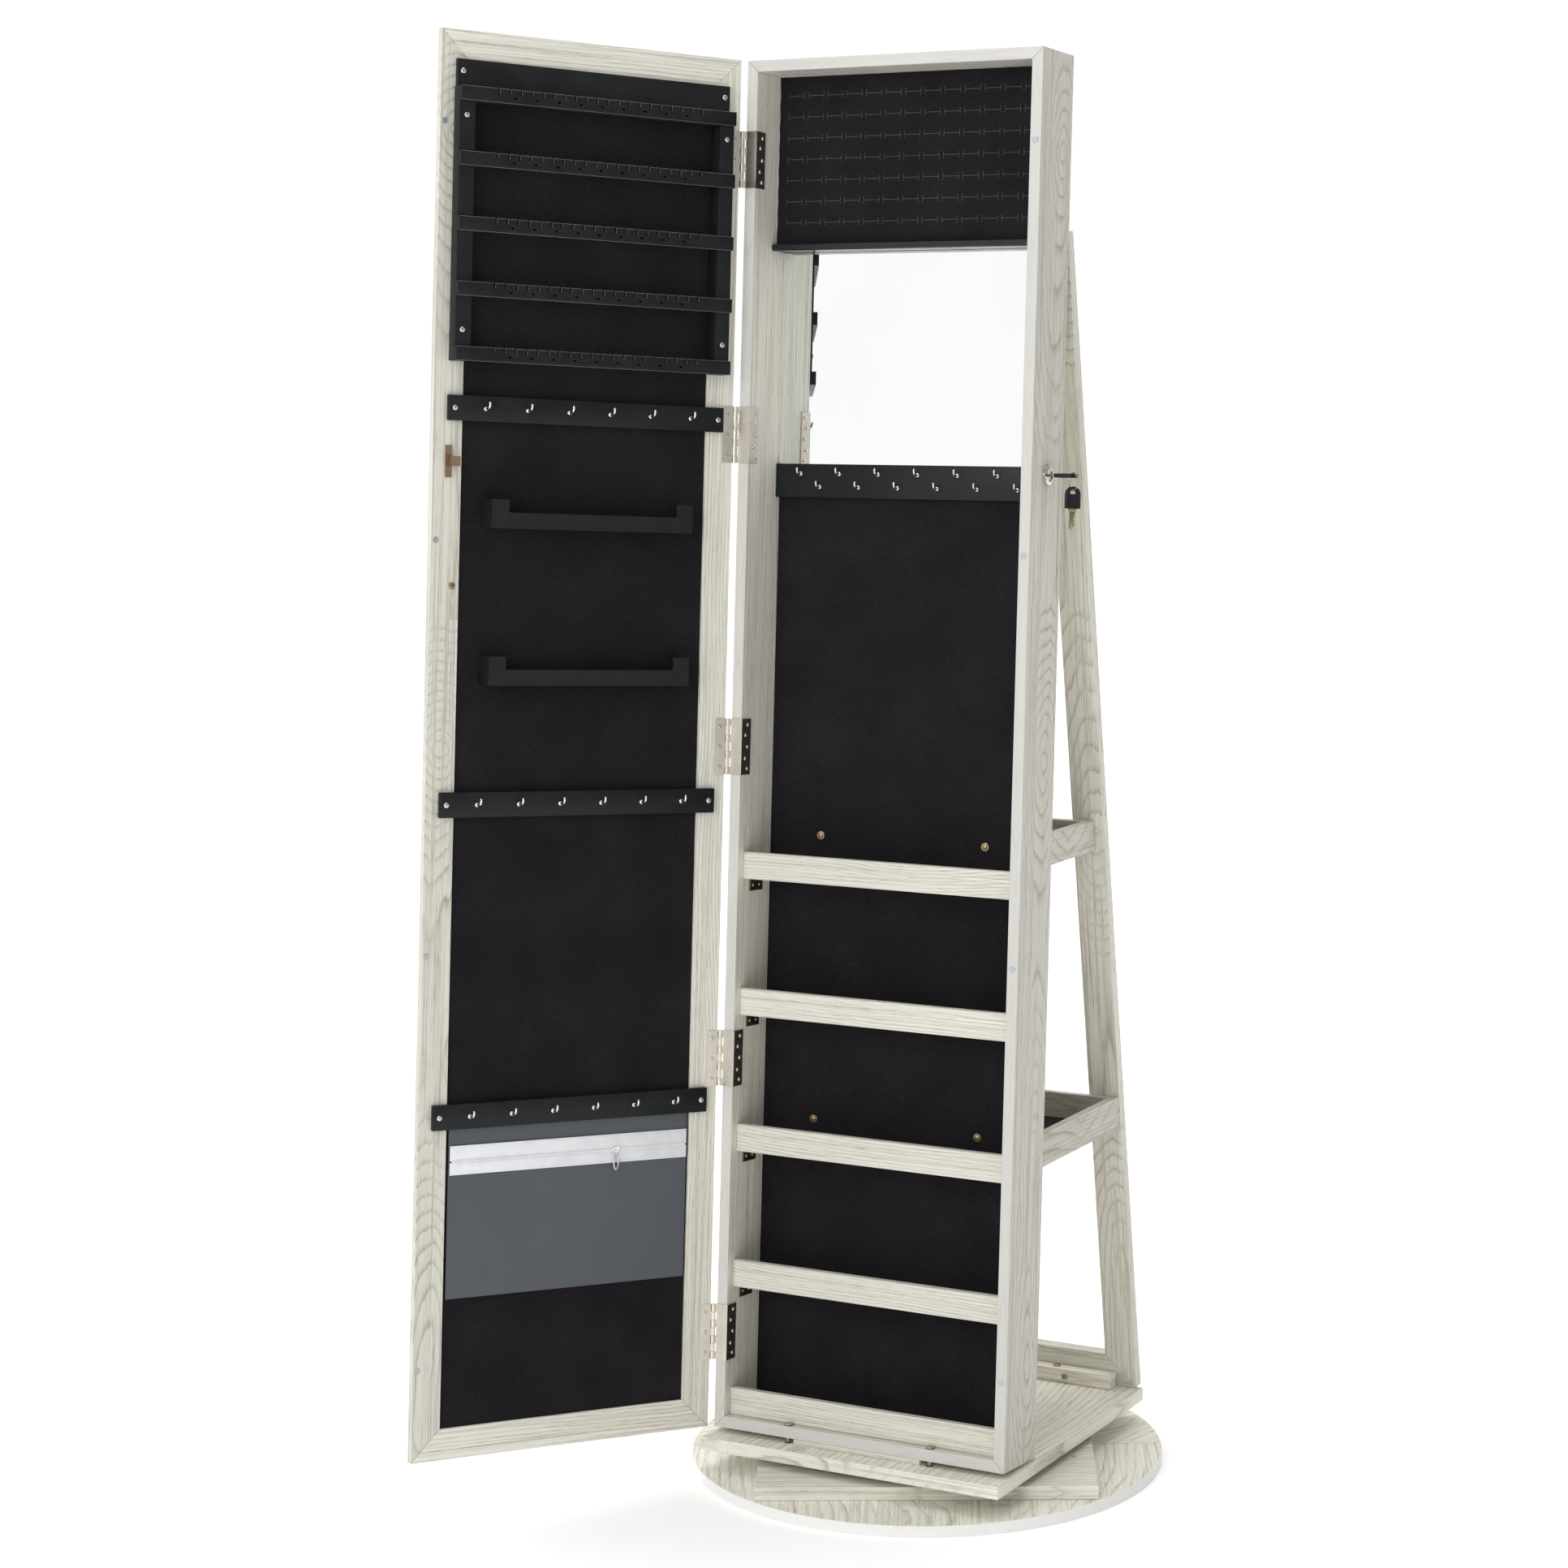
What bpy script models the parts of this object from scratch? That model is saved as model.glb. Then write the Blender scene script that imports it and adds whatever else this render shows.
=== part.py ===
"""Swivelling, lockable jewellery cabinet with a full-length mirror on its door.

Metres, +Z up. The origin is the centre of the base disc's underside, on the swivel axis. At rest the
cabinet faces -Y and its door stands open. The cabinet is modelled in its own leaning frame: x to the
right, y (depth) to the back from the front edges, z up the front edges. The door is modelled in a frame
on the hinge axis, as it lies when it is shut.
"""

import math

import bmesh
import bpy
from mathutils import Matrix, Vector

GAP = 0.0003

# Base and turntable
DISC_RADIUS = 0.272
DISC_THICK = 0.013
SQUARE_SIDE = 0.380
SQUARE_THICK = 0.015
SQUARE_TURN = math.radians(27.5)
SQUARE_HOLE = (0.167, -0.0895, 0.0035)
BEARING_RADIUS = 0.110
BEARING_BORE = 0.078
BEARING_HEIGHT = 0.0083
PLATE_SIZE = (0.376, 0.388)
PLATE_THICK = 0.015

# Cabinet
CABINET_WIDTH = 0.368
CABINET_HEIGHT = 1.550
CABINET_DEPTH = 0.078
BOARD = 0.013
LEAN = math.radians(4.4)
CABINET_FRONT_Y = -0.1705
LINING_DEPTH = 0.072
FOOT_HALF_WIDTH = 0.080
FOOT_DEPTH = 0.060
BOLT_X = 0.090
BOLT_DEPTH = 0.0065
BOLT_RADIUS = 0.0025
BOLT_HEAD = (0.0050, 0.0018)
BOLT_SUNK = 0.0105
SHELF_FRONT = 0.0115
RAIL_HEIGHT = 0.0305
RAIL_THICK = 0.009
SHELF_THICK = 0.008
FIRST_SHELF = 0.168
SHELF_PITCH = 0.1554
PAD_BOTTOM = 1.3475
PAD_DEPTH = 0.050
PAD_RAIL_HEIGHT = 0.0075
HOOK_BOARD_BOTTOM = 1.0610
HOOK_BOARD_TOP = 1.0990

# Door and its hinges, in the door's closed place
DOOR_THICK = 0.009
STILE = 0.034
HINGE_X = -CABINET_WIDTH / 2 - 0.0034
HINGE_DEPTH = -0.0028
DOOR_EDGE = 0.0034
DOOR_FACE = 0.0002
DOOR_OPEN_REST = math.radians(120)
HINGE_HEIGHTS = (1.4385, 1.1290, 0.7764, 0.4220, 0.1089)
HINGE_LENGTH = 0.0635
KNUCKLES = 7
KNUCKLE_RADIUS = 0.003
PIN_RADIUS = 0.0012
LEAF_THICK = 0.0008
LEAF_WIDTH = 0.0134
INNER_LEAF_DEPTH = 0.0185
PANEL_FACE = -0.003
STRIP_BOTTOMS = (1.1308, 0.7020, 0.3625)
STRIP_SIZE = (0.338, 0.0275, 0.006)
DOOR_HOOK_PITCH = 0.0503
RACK_WIDTH = 0.336
RACK_TOP = 1.518
RACK_DEPTH = 0.020
RACK_FLANGE = (0.018, 0.015)
RACK_BOARD_THICK = 0.0055
BAR_TOPS = (1.4880, 1.4185, 1.3490, 1.2795, 1.2100)
BAR_HEIGHT = 0.0152
BAR_BACK = 0.014
SLITS = 20
SLIT_PITCH = 0.0131
SLIT_SIZE = (0.0018, 0.0060)
HOLDER_BOTTOMS = (1.0160, 0.8460)
HOLDER_WIDTH = 0.246
HOLDER_FRONT = 0.0235
HOLDER_WALL = 0.0020
HOLDER_HEIGHT = 0.0315
HOLDER_STEP = 0.0175
UPSTAND_WIDTH = 0.0203
POCKET_HEIGHTS = (0.1760, 0.3615)
ZIP_HEIGHT = 0.3265
SLIDER_U = 0.1283

# Lock
LOCK_PLACE = (CABINET_WIDTH / 2, 0.0400, 1.0895)
ROSETTE_RADIUS = 0.012
LOCK_BODY_RADIUS = 0.009
PLUG_RADIUS = 0.0057
CAM_X = -0.0240
CAM_THICK = 0.0020
CAM_ARM = (0.0035, 0.0085, 0.0370)
CAM_FINGER = (-0.0075, 0.0040)
STRIKE_U = (-0.0220, -0.0145)
STRIKE_HEIGHTS = (-0.0200, 0.0145)
TONGUE_HEIGHTS = (-0.0080, 0.0028)
TONGUE_FRONT = 0.0146
BLADE_START, BLADE_END = -0.0125, 0.0125
BLADE_HALF = 0.0038
BLADE_THICK = 0.0020
BOW_START = 0.0115
BOW_END = 0.0360
BOW_HALF = 0.0090
BOW_THICK = 0.0044
BOW_HOLE_RADIUS = 0.0056
RING_RADIUS = 0.0096
RING_WIRE = 0.0006
RING_TURN = math.radians(-35)
SPARE_TOP = 0.0044
SPARE_TALL = 0.0240
SPARE_BLADE = (0.0035, 0.0235)
SPARE_HOLE = (0.0040, -0.0040, 0.0014)

# Rear frame and trays
FRAME_HALF_WIDTH = 0.182
FRAME_BOARD = 0.038
FRAME_THICK = 0.014
FRAME_FRONT_Y = 0.188
FRAME_TOP_Z = 1.405
BATTEN = (0.157, 0.018, 0.017)
TRAYS = {"upper_rear_tray": (0.171, 0.706, 0.035), "lower_rear_tray": (0.1815, 0.375, 0.037)}
TRAY_WALL = 0.010

SQUARE_BOTTOM = DISC_THICK + GAP
BEARING_BOTTOM = SQUARE_BOTTOM + SQUARE_THICK + GAP
PLATE_BOTTOM = BEARING_BOTTOM + BEARING_HEIGHT
PLATE_TOP = PLATE_BOTTOM + PLATE_THICK
CABINET_FRONT_Z = PLATE_TOP + CABINET_DEPTH * math.sin(LEAN) + GAP
HALF = CABINET_WIDTH / 2
INNER = HALF - BOARD


def clear_scene():
    for found in list(bpy.data.objects):
        bpy.data.objects.remove(found, do_unlink=True)


def material(name, colour, roughness, metallic=0.0):
    made = bpy.data.materials.new(name)
    made.use_nodes = True
    shader = made.node_tree.nodes["Principled BSDF"]
    shader.inputs["Base Color"].default_value = (*colour, 1.0)
    shader.inputs["Roughness"].default_value = roughness
    shader.inputs["Metallic"].default_value = metallic
    return made


def empty(name, place, turn=(0, 0, 0), parent=None):
    made = bpy.data.objects.new(name, None)
    bpy.context.scene.collection.objects.link(made)
    made.location = place
    made.rotation_euler = turn
    made.parent = parent
    return made


def mesh_of(work):
    bmesh.ops.recalc_face_normals(work, faces=work.faces)
    made = bpy.data.meshes.new("shape")
    work.to_mesh(made)
    work.free()
    return made


def hexahedron(bottom, top):
    """A closed solid between two four-cornered loops."""
    work = bmesh.new()
    low = [work.verts.new(corner) for corner in bottom]
    high = [work.verts.new(corner) for corner in top]
    work.faces.new(low)
    work.faces.new(high)
    for i in range(4):
        j = (i + 1) % 4
        work.faces.new((low[i], low[j], high[j], high[i]))
    return mesh_of(work)


def box(low, high):
    loop = [(low[0], low[1]), (high[0], low[1]), (high[0], high[1]), (low[0], high[1])]
    return hexahedron([(x, y, low[2]) for x, y in loop], [(x, y, high[2]) for x, y in loop])


def plate_across_depth(outline, front, back):
    """An outline of (x, z) points, extruded in depth."""
    work = bmesh.new()
    near = [work.verts.new((x, front, z)) for x, z in outline]
    far = [work.verts.new((x, back, z)) for x, z in outline]
    work.faces.new(near)
    work.faces.new(far)
    for i in range(len(outline)):
        j = (i + 1) % len(outline)
        work.faces.new((near[i], near[j], far[j], far[i]))
    return mesh_of(work)


def cylinder(radius, start, end, sides=24):
    start, end = Vector(start), Vector(end)
    along = end - start
    turn = Vector((0, 0, 1)).rotation_difference(along.normalized()).to_matrix().to_4x4()
    work = bmesh.new()
    bmesh.ops.create_cone(
        work, cap_ends=True, segments=sides, radius1=radius, radius2=radius, depth=along.length
    )
    bmesh.ops.transform(work, matrix=Matrix.Translation((start + end) / 2) @ turn, verts=work.verts)
    return mesh_of(work)


def tubes(routes, radius, sides=8):
    """One closed round bar along each route of points, all in one mesh."""
    work = bmesh.new()
    for route in routes:
        points = [Vector(point) for point in route]
        loops = []
        for i, point in enumerate(points):
            before = points[max(i - 1, 0)]
            after = points[min(i + 1, len(points) - 1)]
            along = (after - before).normalized()
            side = along.cross(Vector((1, 0, 0))).normalized()
            other = along.cross(side)
            loop = []
            for k in range(sides):
                angle = 2 * math.pi * k / sides
                offset = side * math.cos(angle) + other * math.sin(angle)
                loop.append(work.verts.new(point + offset * radius))
            loops.append(loop)
        for low, high in zip(loops, loops[1:]):
            for k in range(sides):
                j = (k + 1) % sides
                work.faces.new((low[k], low[j], high[j], high[k]))
        work.faces.new(loops[0])
        work.faces.new(loops[-1])
    return mesh_of(work)


def boxes(pairs):
    """Several separate boxes in one mesh, for one Boolean."""
    work = bmesh.new()
    for low, high in pairs:
        piece = box(low, high)
        work.from_mesh(piece)
        bpy.data.meshes.remove(piece)
    return mesh_of(work)


def combined(first, adds=(), cuts=()):
    """The first mesh with the others joined to it, then the cuts taken out."""
    scene = bpy.context.scene.collection
    holder = bpy.data.objects.new("work", first)
    scene.objects.link(holder)
    tools = []
    for kind, meshes in (("UNION", adds), ("DIFFERENCE", cuts)):
        for mesh in meshes:
            tool = bpy.data.objects.new("tool", mesh)
            scene.objects.link(tool)
            tools.append(tool)
            change = holder.modifiers.new("boolean", "BOOLEAN")
            change.operation = kind
            change.object = tool
    graph = bpy.context.evaluated_depsgraph_get()
    made = bpy.data.meshes.new_from_object(holder.evaluated_get(graph))
    for tool in (holder, *tools):
        bpy.data.objects.remove(tool, do_unlink=True)
    return made


def node(name, mesh, finish, parent=None, bevel=0.0, smooth=False, place=(0, 0, 0)):
    """Puts one named sub-part in the scene."""
    made = bpy.data.objects.new(name, mesh)
    bpy.context.scene.collection.objects.link(made)
    made.parent = parent
    made.location = place
    if not mesh.materials:
        mesh.materials.append(finish)
    if smooth:
        mesh.shade_smooth()
        mesh.set_sharp_from_angle(angle=math.radians(35))
    if bevel:
        change = made.modifiers.new("edges", "BEVEL")
        change.width = bevel
        change.segments = 2
        change.limit_method = "ANGLE"
        change.angle_limit = math.radians(40)
    return made


def mitred_frame(names, width, height, board, front, back, finish, parent, left=0.0):
    """Four boards mitred like a picture frame: left, right, bottom and top."""
    right = left + width
    g = GAP / 2
    outlines = (
        ((left, g), (left + board, board + g), (left + board, height - board - g), (left, height - g)),
        ((right, g), (right, height - g), (right - board, height - board - g), (right - board, board + g)),
        ((left + g, 0), (right - g, 0), (right - board - g, board), (left + board + g, board)),
        (
            (left + g, height),
            (left + board + g, height - board),
            (right - board - g, height - board),
            (right - g, height),
        ),
    )
    return [
        node(name, plate_across_depth(outline, front, back), finish, parent, bevel=0.0005)
        for name, outline in zip(names, outlines)
    ]


def make_base():
    work = bmesh.new()
    bmesh.ops.create_cone(
        work, cap_ends=True, segments=96, radius1=DISC_RADIUS, radius2=DISC_RADIUS, depth=DISC_THICK
    )
    bmesh.ops.translate(work, vec=(0, 0, DISC_THICK / 2), verts=work.verts)
    node("base_disc", mesh_of(work), WOOD, bevel=0.0008, smooth=True)
    square_frame = empty("square_frame", (0, 0, SQUARE_BOTTOM), (0, 0, SQUARE_TURN))
    half = SQUARE_SIDE / 2
    hole_x, hole_y, hole_radius = SQUARE_HOLE
    square = combined(
        box((-half, -half, 0), (half, half, SQUARE_THICK)),
        cuts=[cylinder(hole_radius, (hole_x, hole_y, 0.004), (hole_x, hole_y, 0.03), 16)],
    )
    node("base_square_plate", square, WOOD, square_frame, bevel=0.0005)
    split = BEARING_BOTTOM + BEARING_HEIGHT / 2
    for name, low, high in (
        ("bearing_lower_ring", BEARING_BOTTOM, split - GAP / 2),
        ("bearing_upper_ring", split + GAP / 2, PLATE_BOTTOM - GAP),
    ):
        ring = combined(
            cylinder(BEARING_RADIUS, (0, 0, low), (0, 0, high), 48),
            cuts=[cylinder(BEARING_BORE, (0, 0, low - 0.01), (0, 0, high + 0.01), 48)],
        )
        node(name, ring, STEEL, smooth=True)


def bolt_places():
    """Where each bolt's foot stands on the swivel plate."""
    y = CABINET_FRONT_Y + BOLT_DEPTH
    return [("left", -BOLT_X, y), ("right", BOLT_X, y)]


def make_swivel_plate():
    half_x, half_y = PLATE_SIZE[0] / 2, PLATE_SIZE[1] / 2
    holes = [
        cylinder(0.0052, (x, y, PLATE_BOTTOM + 0.004), (x, y, PLATE_TOP + 0.01), 20)
        for _, x, y in bolt_places()
    ]
    plate = combined(
        box((-half_x, -half_y, PLATE_BOTTOM), (half_x, half_y, PLATE_TOP)),
        cuts=holes,
    )
    node("swivel_plate", plate, WOOD, bevel=0.0005)


def make_cabinet(cabinet):
    names = ("cabinet_left_side", "cabinet_right_side", "cabinet_bottom", "cabinet_top")
    boards = mitred_frame(
        names, CABINET_WIDTH, CABINET_HEIGHT, BOARD, 0, CABINET_DEPTH, WOOD, cabinet, -HALF
    )
    _, lock_y, lock_z = LOCK_PLACE
    lock_hole = cylinder(LOCK_BODY_RADIUS + GAP, (INNER - 0.01, lock_y, lock_z), (HALF + 0.01, lock_y, lock_z))
    boards[1].data = combined(boards[1].data, cuts=[lock_hole])
    bolt_holes = [
        cylinder(0.0031, (x, BOLT_DEPTH, -0.01), (x, BOLT_DEPTH, BOARD + 0.01), 16)
        for x in (-BOLT_X, BOLT_X)
    ]
    boards[2].data = combined(boards[2].data, cuts=bolt_holes)
    inset = INNER - GAP
    low, high = BOARD + GAP, CABINET_HEIGHT - BOARD - GAP
    lining_back = LINING_DEPTH + 0.0018
    panel = box((-inset, lining_back + GAP, low), (inset, CABINET_DEPTH - GAP, high))
    node("cabinet_back_panel", panel, WOOD, cabinet)
    lining = box((-inset, LINING_DEPTH, low), (inset, lining_back, high))
    node("cabinet_back_lining", lining, VELVET, cabinet)
    node("bottom_rail", rail_mesh(BOARD + GAP), WOOD, cabinet, bevel=0.0004)
    for i, letter in enumerate("dcba"):
        z = FIRST_SHELF + i * SHELF_PITCH
        board = box((-inset, SHELF_FRONT + 0.001, z - SHELF_THICK), (inset, LINING_DEPTH - GAP, z + 0.001))
        shelf = combined(rail_mesh(z - SHELF_THICK), adds=[board])
        node("shelf_" + letter, shelf, WOOD, cabinet, bevel=0.0004)


def rail_mesh(z):
    """A rail across the cabinet's opening, with its lower edge at height z."""
    inset = INNER - GAP
    return box((-inset, SHELF_FRONT, z), (inset, SHELF_FRONT + RAIL_THICK, z + RAIL_HEIGHT))


def make_foot():
    """A wedge between the cabinet's bottom board and the swivel plate, and a bolt each side of it."""
    slope = math.tan(LEAN)
    head_radius, head_thick = BOLT_HEAD

    def under(y):
        return CABINET_FRONT_Z - (y - CABINET_FRONT_Y) * slope - GAP

    low, front, back = PLATE_TOP + GAP, CABINET_FRONT_Y + 0.0005, CABINET_FRONT_Y + FOOT_DEPTH
    side = FOOT_HALF_WIDTH
    loop = [(-side, front), (side, front), (side, back), (-side, back)]
    wedge = hexahedron([(x, y, low) for x, y in loop], [(x, y, under(y)) for x, y in loop])
    node("cabinet_foot_wedge", wedge, WOOD)
    for side_name, x, y in bolt_places():
        foot = PLATE_TOP - BOLT_SUNK
        top = CABINET_FRONT_Z + BOARD + GAP
        foot, start, middle, end = (
            (x, y + (z - CABINET_FRONT_Z) * slope, z)
            for z in (foot, top, top + head_thick / 2, top + head_thick)
        )
        shaft = cylinder(BOLT_RADIUS, foot, middle, 16)
        head = cylinder(head_radius, start, end, 20)
        node("cabinet_bolt_" + side_name, combined(shaft, adds=[head]), BRASS, smooth=True)


def hook_routes(places, face, reach=0.0115, rise=0.006):
    """A hook goes straight out of its board towards smaller depth and turns up at its end."""
    return [
        (
            (x, face + 0.002, z),
            (x, face - reach * 0.55, z),
            (x, face - reach * 0.85, z + rise * 0.12),
            (x, face - reach, z + rise * 0.5),
            (x, face - reach, z + rise),
        )
        for x, z in places
    ]


def make_fittings(cabinet):
    inset = INNER - GAP
    top = CABINET_HEIGHT - BOARD - GAP
    node("ring_pad", box((-inset, PAD_DEPTH, PAD_BOTTOM), (inset, LINING_DEPTH - GAP, top)), VELVET, cabinet)
    rail_top = PAD_BOTTOM - GAP
    rail = box(
        (-inset, PAD_DEPTH - 0.010, rail_top - PAD_RAIL_HEIGHT), (inset, LINING_DEPTH - GAP, rail_top)
    )
    node("ring_pad_rail", rail, BLACK, cabinet, bevel=0.0015)
    mirror_top = rail_top - PAD_RAIL_HEIGHT - GAP
    mirror = box((-inset, LINING_DEPTH - 0.0035, HOOK_BOARD_TOP + GAP), (inset, LINING_DEPTH - GAP, mirror_top))
    node("interior_mirror", mirror, MIRROR, cabinet)
    face = LINING_DEPTH - 0.009
    board = box((-inset, face, HOOK_BOARD_BOTTOM), (inset, LINING_DEPTH - GAP, HOOK_BOARD_TOP))
    places = [(-0.1375 + 0.025 * i, 1.0880 if i % 2 == 0 else 1.0730) for i in range(12)]
    hooks = tubes(hook_routes(places, face, 0.010, 0.005), 0.0013)
    node("necklace_hook_board", combined(board, adds=[hooks]), BLACK, cabinet)


def knuckle_spans(mine):
    """Heights of every second knuckle, measured from the hinge's middle."""
    step = HINGE_LENGTH / KNUCKLES
    spans = []
    for i in range(KNUCKLES):
        if (i % 2 == 0) == mine:
            low = -HINGE_LENGTH / 2 + i * step + 0.0002
            spans.append((low, low + step - 0.0004))
    return spans


def make_hinges(cabinet, door):
    """Each leaf is built round its barrel's axis, so its origin is on the hinge axis."""
    half = HINGE_LENGTH / 2
    edge = -HALF - HINGE_X
    front = -HINGE_DEPTH
    strip_front, strip_back = front - LEAF_THICK - 0.0005, front - GAP
    inner_x = edge + BOARD + 0.0015
    strip = box((edge + 0.0002, strip_front, -half), (inner_x, strip_back, half))
    inner = box((edge + BOARD + GAP, strip_front, -half), (inner_x, front + INNER_LEAF_DEPTH, half))
    adds = [inner]
    for low, high in knuckle_spans(True):
        adds.append(box((0, strip_front, low), (edge + 0.001, strip_back, high)))
        adds.append(cylinder(KNUCKLE_RADIUS, (0, 0, low), (0, 0, high), 20))
    bore = cylinder(PIN_RADIUS + GAP, (0, 0, -half - 0.01), (0, 0, half + 0.01), 16)
    cabinet_leaf = combined(strip, adds=adds, cuts=[bore])

    leaf_face = DOOR_FACE + GAP
    leaf_back = leaf_face + LEAF_THICK
    leaf = box((edge + 0.0002, leaf_face, -half), (edge + LEAF_WIDTH, leaf_back, half))
    adds = [cylinder(PIN_RADIUS, (0, 0, -half), (0, 0, half), 16)]
    for low, high in knuckle_spans(False):
        adds.append(box((0, leaf_face, low), (edge + 0.001, leaf_back, high)))
        adds.append(cylinder(KNUCKLE_RADIUS, (0, 0, low), (0, 0, high), 20))
    door_leaf = combined(leaf, adds=adds)
    for i, height in enumerate(HINGE_HEIGHTS, 1):
        place = (HINGE_X, HINGE_DEPTH, height)
        node(f"cabinet_hinge_leaf_{i}", cabinet_leaf, NICKEL, cabinet, place=place)
        node(f"door_hinge_leaf_{i}", door_leaf, NICKEL, door, place=(0, 0, height))


def in_door(u, v, z):
    """u from the door's hinge edge, v inwards from its inner face."""
    return (DOOR_EDGE + u, DOOR_FACE + v, z)


def door_box(low, high):
    return box(in_door(*low), in_door(*high))


def make_door(door):
    names = ("door_hinge_stile", "door_lock_stile", "door_bottom_rail", "door_top_rail")
    mitred_frame(
        names,
        CABINET_WIDTH,
        CABINET_HEIGHT,
        STILE,
        DOOR_FACE - DOOR_THICK,
        DOOR_FACE,
        WOOD,
        door,
        DOOR_EDGE,
    )
    inset = STILE + GAP
    far, top = CABINET_WIDTH - inset, CABINET_HEIGHT - inset
    lining = door_box((inset, PANEL_FACE - 0.002, inset), (far, PANEL_FACE, top))
    node("door_lining", lining, VELVET, door)
    glass = door_box((inset, -DOOR_THICK + 0.0006, inset), (far, PANEL_FACE - 0.002 - GAP, top))
    node("door_mirror", glass, MIRROR, door, bevel=0.0005)
    make_rack(door)
    middle = CABINET_WIDTH / 2
    width, height, thick = STRIP_SIZE
    for i, low in enumerate(STRIP_BOTTOMS, 1):
        board = door_box((middle - width / 2, GAP, low), (middle + width / 2, thick, low + height))
        places = [
            (DOOR_EDGE + middle + DOOR_HOOK_PITCH * (k - 2.5), low + height * 0.5) for k in range(6)
        ]
        routes = [
            [(x, 2 * (DOOR_FACE + thick) - y, z) for x, y, z in route]
            for route in hook_routes(places, DOOR_FACE + thick)
        ]
        node(f"necklace_strip_{i}", combined(board, adds=[tubes(routes, 0.0014)]), BLACK, door)
    for i, low in enumerate(HOLDER_BOTTOMS, 1):
        make_holder(f"cosmetics_holder_{i}", low, door)
    pocket = door_box(
        (STILE + 0.003, PANEL_FACE + GAP, POCKET_HEIGHTS[0]),
        (CABINET_WIDTH - STILE - 0.003, 0.0015, POCKET_HEIGHTS[1]),
    )
    node("zip_pocket", pocket, FILM, door)
    slider = combined(
        door_box((SLIDER_U - 0.0035, 0.0018, ZIP_HEIGHT - 0.005), (SLIDER_U + 0.0035, 0.0045, ZIP_HEIGHT + 0.005)),
        adds=[
            door_box((SLIDER_U - 0.002, 0.0030, ZIP_HEIGHT - 0.022), (SLIDER_U + 0.002, 0.0042, ZIP_HEIGHT))
        ],
    )
    node("zip_slider", slider, NICKEL, door)
    make_strike(door)


def make_rack(door):
    """Two side flanges, a top board and five slit bars for hook earrings."""
    left = (CABINET_WIDTH - RACK_WIDTH) / 2
    right = left + RACK_WIDTH
    low, high = BAR_TOPS[-1] - BAR_HEIGHT, BAR_TOPS[0]
    wide, deep = RACK_FLANGE
    slit_wide, slit_deep = SLIT_SIZE
    adds = [
        door_box((right - wide, GAP, low), (right, deep, high)),
        door_box((left + 0.001, GAP, high - BAR_HEIGHT), (right - 0.001, RACK_BOARD_THICK, RACK_TOP)),
    ]
    slits = []
    first = CABINET_WIDTH / 2 - SLIT_PITCH * (SLITS - 1) / 2
    for top in BAR_TOPS:
        adds.append(door_box((left, BAR_BACK, top - BAR_HEIGHT), (right, RACK_DEPTH, top)))
        for k in range(SLITS):
            u = first + k * SLIT_PITCH
            corner = in_door(u - slit_wide / 2, BAR_BACK - 0.004, top - slit_deep)
            slits.append((corner, in_door(u + slit_wide / 2, RACK_DEPTH + 0.01, top + 0.002)))
    body = door_box((left, GAP, low), (left + wide, deep, high))
    node("earring_rack", combined(body, adds=adds, cuts=[boxes(slits)]), BLACK, door)


def make_holder(name, low, door):
    """A shallow trough against the lining: floor, ends, and a front with raised ends."""
    left = (CABINET_WIDTH - HOLDER_WIDTH) / 2
    right = left + HOLDER_WIDTH
    back, front, wall = PANEL_FACE + GAP, HOLDER_FRONT, HOLDER_WALL
    top, step = low + HOLDER_HEIGHT, low + HOLDER_STEP
    outer = door_box((left, back, low), (right, front, top))
    inside = door_box((left + wall, back - 0.01, low + wall), (right - wall, front - wall, top + 0.01))
    notch = door_box(
        (left + UPSTAND_WIDTH, front - 2 * wall, step), (right - UPSTAND_WIDTH, front + 0.01, top + 0.02)
    )
    node(name, combined(outer, cuts=[inside, notch]), BLACK, door, bevel=0.0004)


def make_strike(door):
    """A plate on the door, a web that stands on it, and the tongue that the cam's finger drops in front of."""
    lock_u = LOCK_PLACE[0] + HALF
    z = LOCK_PLACE[2]
    low, high = z + TONGUE_HEIGHTS[0], z + TONGUE_HEIGHTS[1]
    left, right = lock_u + STRIKE_U[0], lock_u + STRIKE_U[1]
    plate = door_box((left, GAP, z + STRIKE_HEIGHTS[0]), (right, 0.0015, z + STRIKE_HEIGHTS[1]))
    block = door_box((left + 0.0006, GAP, low - 0.0005), (right - 0.0006, 0.0042, high + 0.0005))
    web = door_box((lock_u - 0.0186, GAP, low), (lock_u - 0.0170, TONGUE_FRONT, high))
    tongue = door_box((lock_u - 0.0262, TONGUE_FRONT - 0.0020, low), (lock_u - 0.0172, TONGUE_FRONT, high))
    node("strike_plate", combined(plate, adds=[block, web, tongue]), BRONZE, door)


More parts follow.
